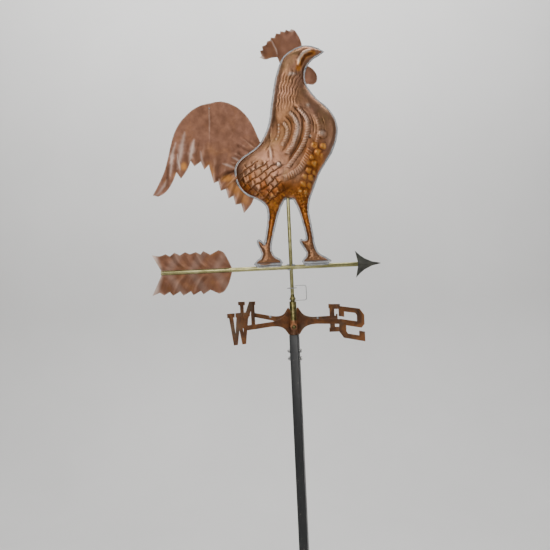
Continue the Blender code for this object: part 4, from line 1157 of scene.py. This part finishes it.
def pole_paint():
    f = Finish("dark_paint", 0.0)
    stops = [(0.32, (0.004, 0.005, 0.006)), (0.55, (0.009, 0.010, 0.011)), (0.78, (0.018, 0.019, 0.020))]
    skin = f.ramp(f.noise(11, 5), stops)
    runs = f.spread(f.noise(55, 5, (1, 1, 0.07)), 0.52, 0.68, 0, 0.45)
    skin = f.mix(runs, skin, (0.030, 0.030, 0.029))
    chips = f.spread(f.noise(140, 4), 0.66, 0.70, 0, 0.8)
    skin = f.mix(chips, skin, (0.16, 0.13, 0.11))
    rough = f.spread(f.noise(40, 4, (1, 1, 0.3)), 0.3, 0.7, 0.34, 0.58)
    return f.set(colour=skin, roughness=rough, normal=f.bump(f.noise(450, 2), 0.0002, 0.35))


def plug_plastic():
    f = Finish("moulded_plastic", 0.0)
    skin = f.ramp(f.noise(50, 4), [(0.3, (0.012, 0.012, 0.012)), (0.7, (0.028, 0.028, 0.029))])
    dust = f.spread(f.noise(16, 4), 0.5, 0.75, 0, 0.35)
    skin = f.mix(dust, skin, (0.10, 0.095, 0.085))
    rough = f.spread(f.noise(90, 3), 0.3, 0.7, 0.5, 0.72)
    return f.set(colour=skin, roughness=rough, normal=f.bump(f.noise(600, 2), 0.0002, 0.4))


def make_finishes():
    return {
        "body_copper": body_copper(),
        "sheet_copper": sheet_copper(),
        "letter_copper": letter_copper(),
        "tube_brass": tube_brass(),
        "turned_brass": turned_brass(),
        "solder": solder(),
        "bright_steel": bright_steel(),
        "head_casting": head_casting(),
        "pole_paint": pole_paint(),
        "plug_plastic": plug_plastic(),
    }


# ---------------------------------------------------------------- stage, light and camera

def make_stage():
    """A pale floor that curves up into a backdrop."""
    behind, bend, top, ahead, half_width, steps = 1.9, 0.9, 4.5, -6.0, 8.0, 16
    profile = [(ahead, 0), (behind - bend, 0)]
    for i in range(1, steps + 1):
        angle = math.pi / 2 * i / steps
        profile.append((behind - bend + bend * math.sin(angle), bend * (1 - math.cos(angle))))
    profile.append((behind, top))
    corners = [(x, y, z) for y, z in profile for x in (-half_width, half_width)]
    faces = [(2 * i, 2 * i + 1, 2 * i + 3, 2 * i + 2) for i in range(len(profile) - 1)]
    mesh = bpy.data.meshes.new("floor")
    mesh.from_pydata(corners, [], faces)
    mesh.shade_smooth()
    f = Finish("pale_floor", 0.0)
    skin = f.ramp(f.noise(1.5, 3), [(0.3, (0.70, 0.695, 0.685)), (0.7, (0.74, 0.735, 0.725))])
    rough = f.spread(f.noise(5, 3), 0.3, 0.7, 0.80, 0.92)
    mesh.materials.append(f.set(colour=skin, roughness=rough))
    floor = bpy.data.objects.new("floor", mesh)
    bpy.context.scene.collection.objects.link(floor)


def lamp(name, place, target, size, power, colour):
    light = bpy.data.lights.new(name, "AREA")
    light.shape = "RECTANGLE"
    light.size, light.size_y = size
    light.energy = power
    light.color = colour
    obj = bpy.data.objects.new(name, light)
    bpy.context.scene.collection.objects.link(obj)
    obj.location = place
    obj.rotation_euler = (Vector(target) - Vector(place)).to_track_quat("-Z", "Y").to_euler()


def make_light():
    target = (0, 0, SHAFT_HEIGHT + 0.25)
    lamp("front", (-0.5, -3.3, 2.0), target, (2.4, 2.0), 62, (1.0, 0.985, 0.96))
    lamp("key", (-1.2, -2.0, 3.0), target, (0.9, 0.9), 19, (1.0, 0.97, 0.93))
    lamp("right", (2.3, -1.4, 1.8), target, (0.5, 1.8), 9, (0.96, 0.98, 1.0))
    lamp("top", (0.1, 0.1, 3.4), target, (1.4, 1.0), 14, (1.0, 1.0, 1.0))
    lamp("backdrop", (0, 0.5, 3.6), (0, 2.2, 0.9), (4.0, 0.8), 95, (1.0, 1.0, 1.0))
    world = bpy.data.worlds.new("studio")
    world.use_nodes = True
    world.node_tree.nodes["Background"].inputs["Color"].default_value = (0.60, 0.61, 0.63, 1)
    world.node_tree.nodes["Background"].inputs["Strength"].default_value = 0.26
    bpy.context.scene.world = world


CAMERA_DISTANCE = 1.71
CAMERA_AZIMUTH = math.radians(-1.845)
CAMERA_ABOVE_SHAFT = 0.0075
CAMERA_YAW = math.radians(1.548)
CAMERA_PITCH = math.radians(0.917)
CAMERA_ROLL = math.radians(2.68)
CAMERA_LENS = 39.87


def make_camera():
    data = bpy.data.cameras.new("camera")
    data.lens = CAMERA_LENS
    data.sensor_width = 36
    data.clip_start, data.clip_end = 0.05, 50
    camera = bpy.data.objects.new("camera", data)
    bpy.context.scene.collection.objects.link(camera)
    side, back = math.sin(CAMERA_AZIMUTH), -math.cos(CAMERA_AZIMUTH)
    camera.location = (side * CAMERA_DISTANCE, back * CAMERA_DISTANCE, SHAFT_HEIGHT + CAMERA_ABOVE_SHAFT)
    heading = Quaternion((0, 0, 1), CAMERA_AZIMUTH + CAMERA_YAW)
    tilt = Quaternion((1, 0, 0), math.pi / 2 - CAMERA_PITCH)
    roll = Quaternion((0, 0, 1), -CAMERA_ROLL)
    camera.rotation_mode = "QUATERNION"
    camera.rotation_quaternion = heading @ tilt @ roll
    bpy.context.scene.camera = camera


def main():
    finishes = make_finishes()
    loop = make_shells(finishes)
    make_seam(loop, finishes)
    make_solder(finishes)
    make_sheets(finishes)
    make_parts(finishes)
    make_brazing(finishes)
    make_stage()
    make_light()
    make_camera()


main()
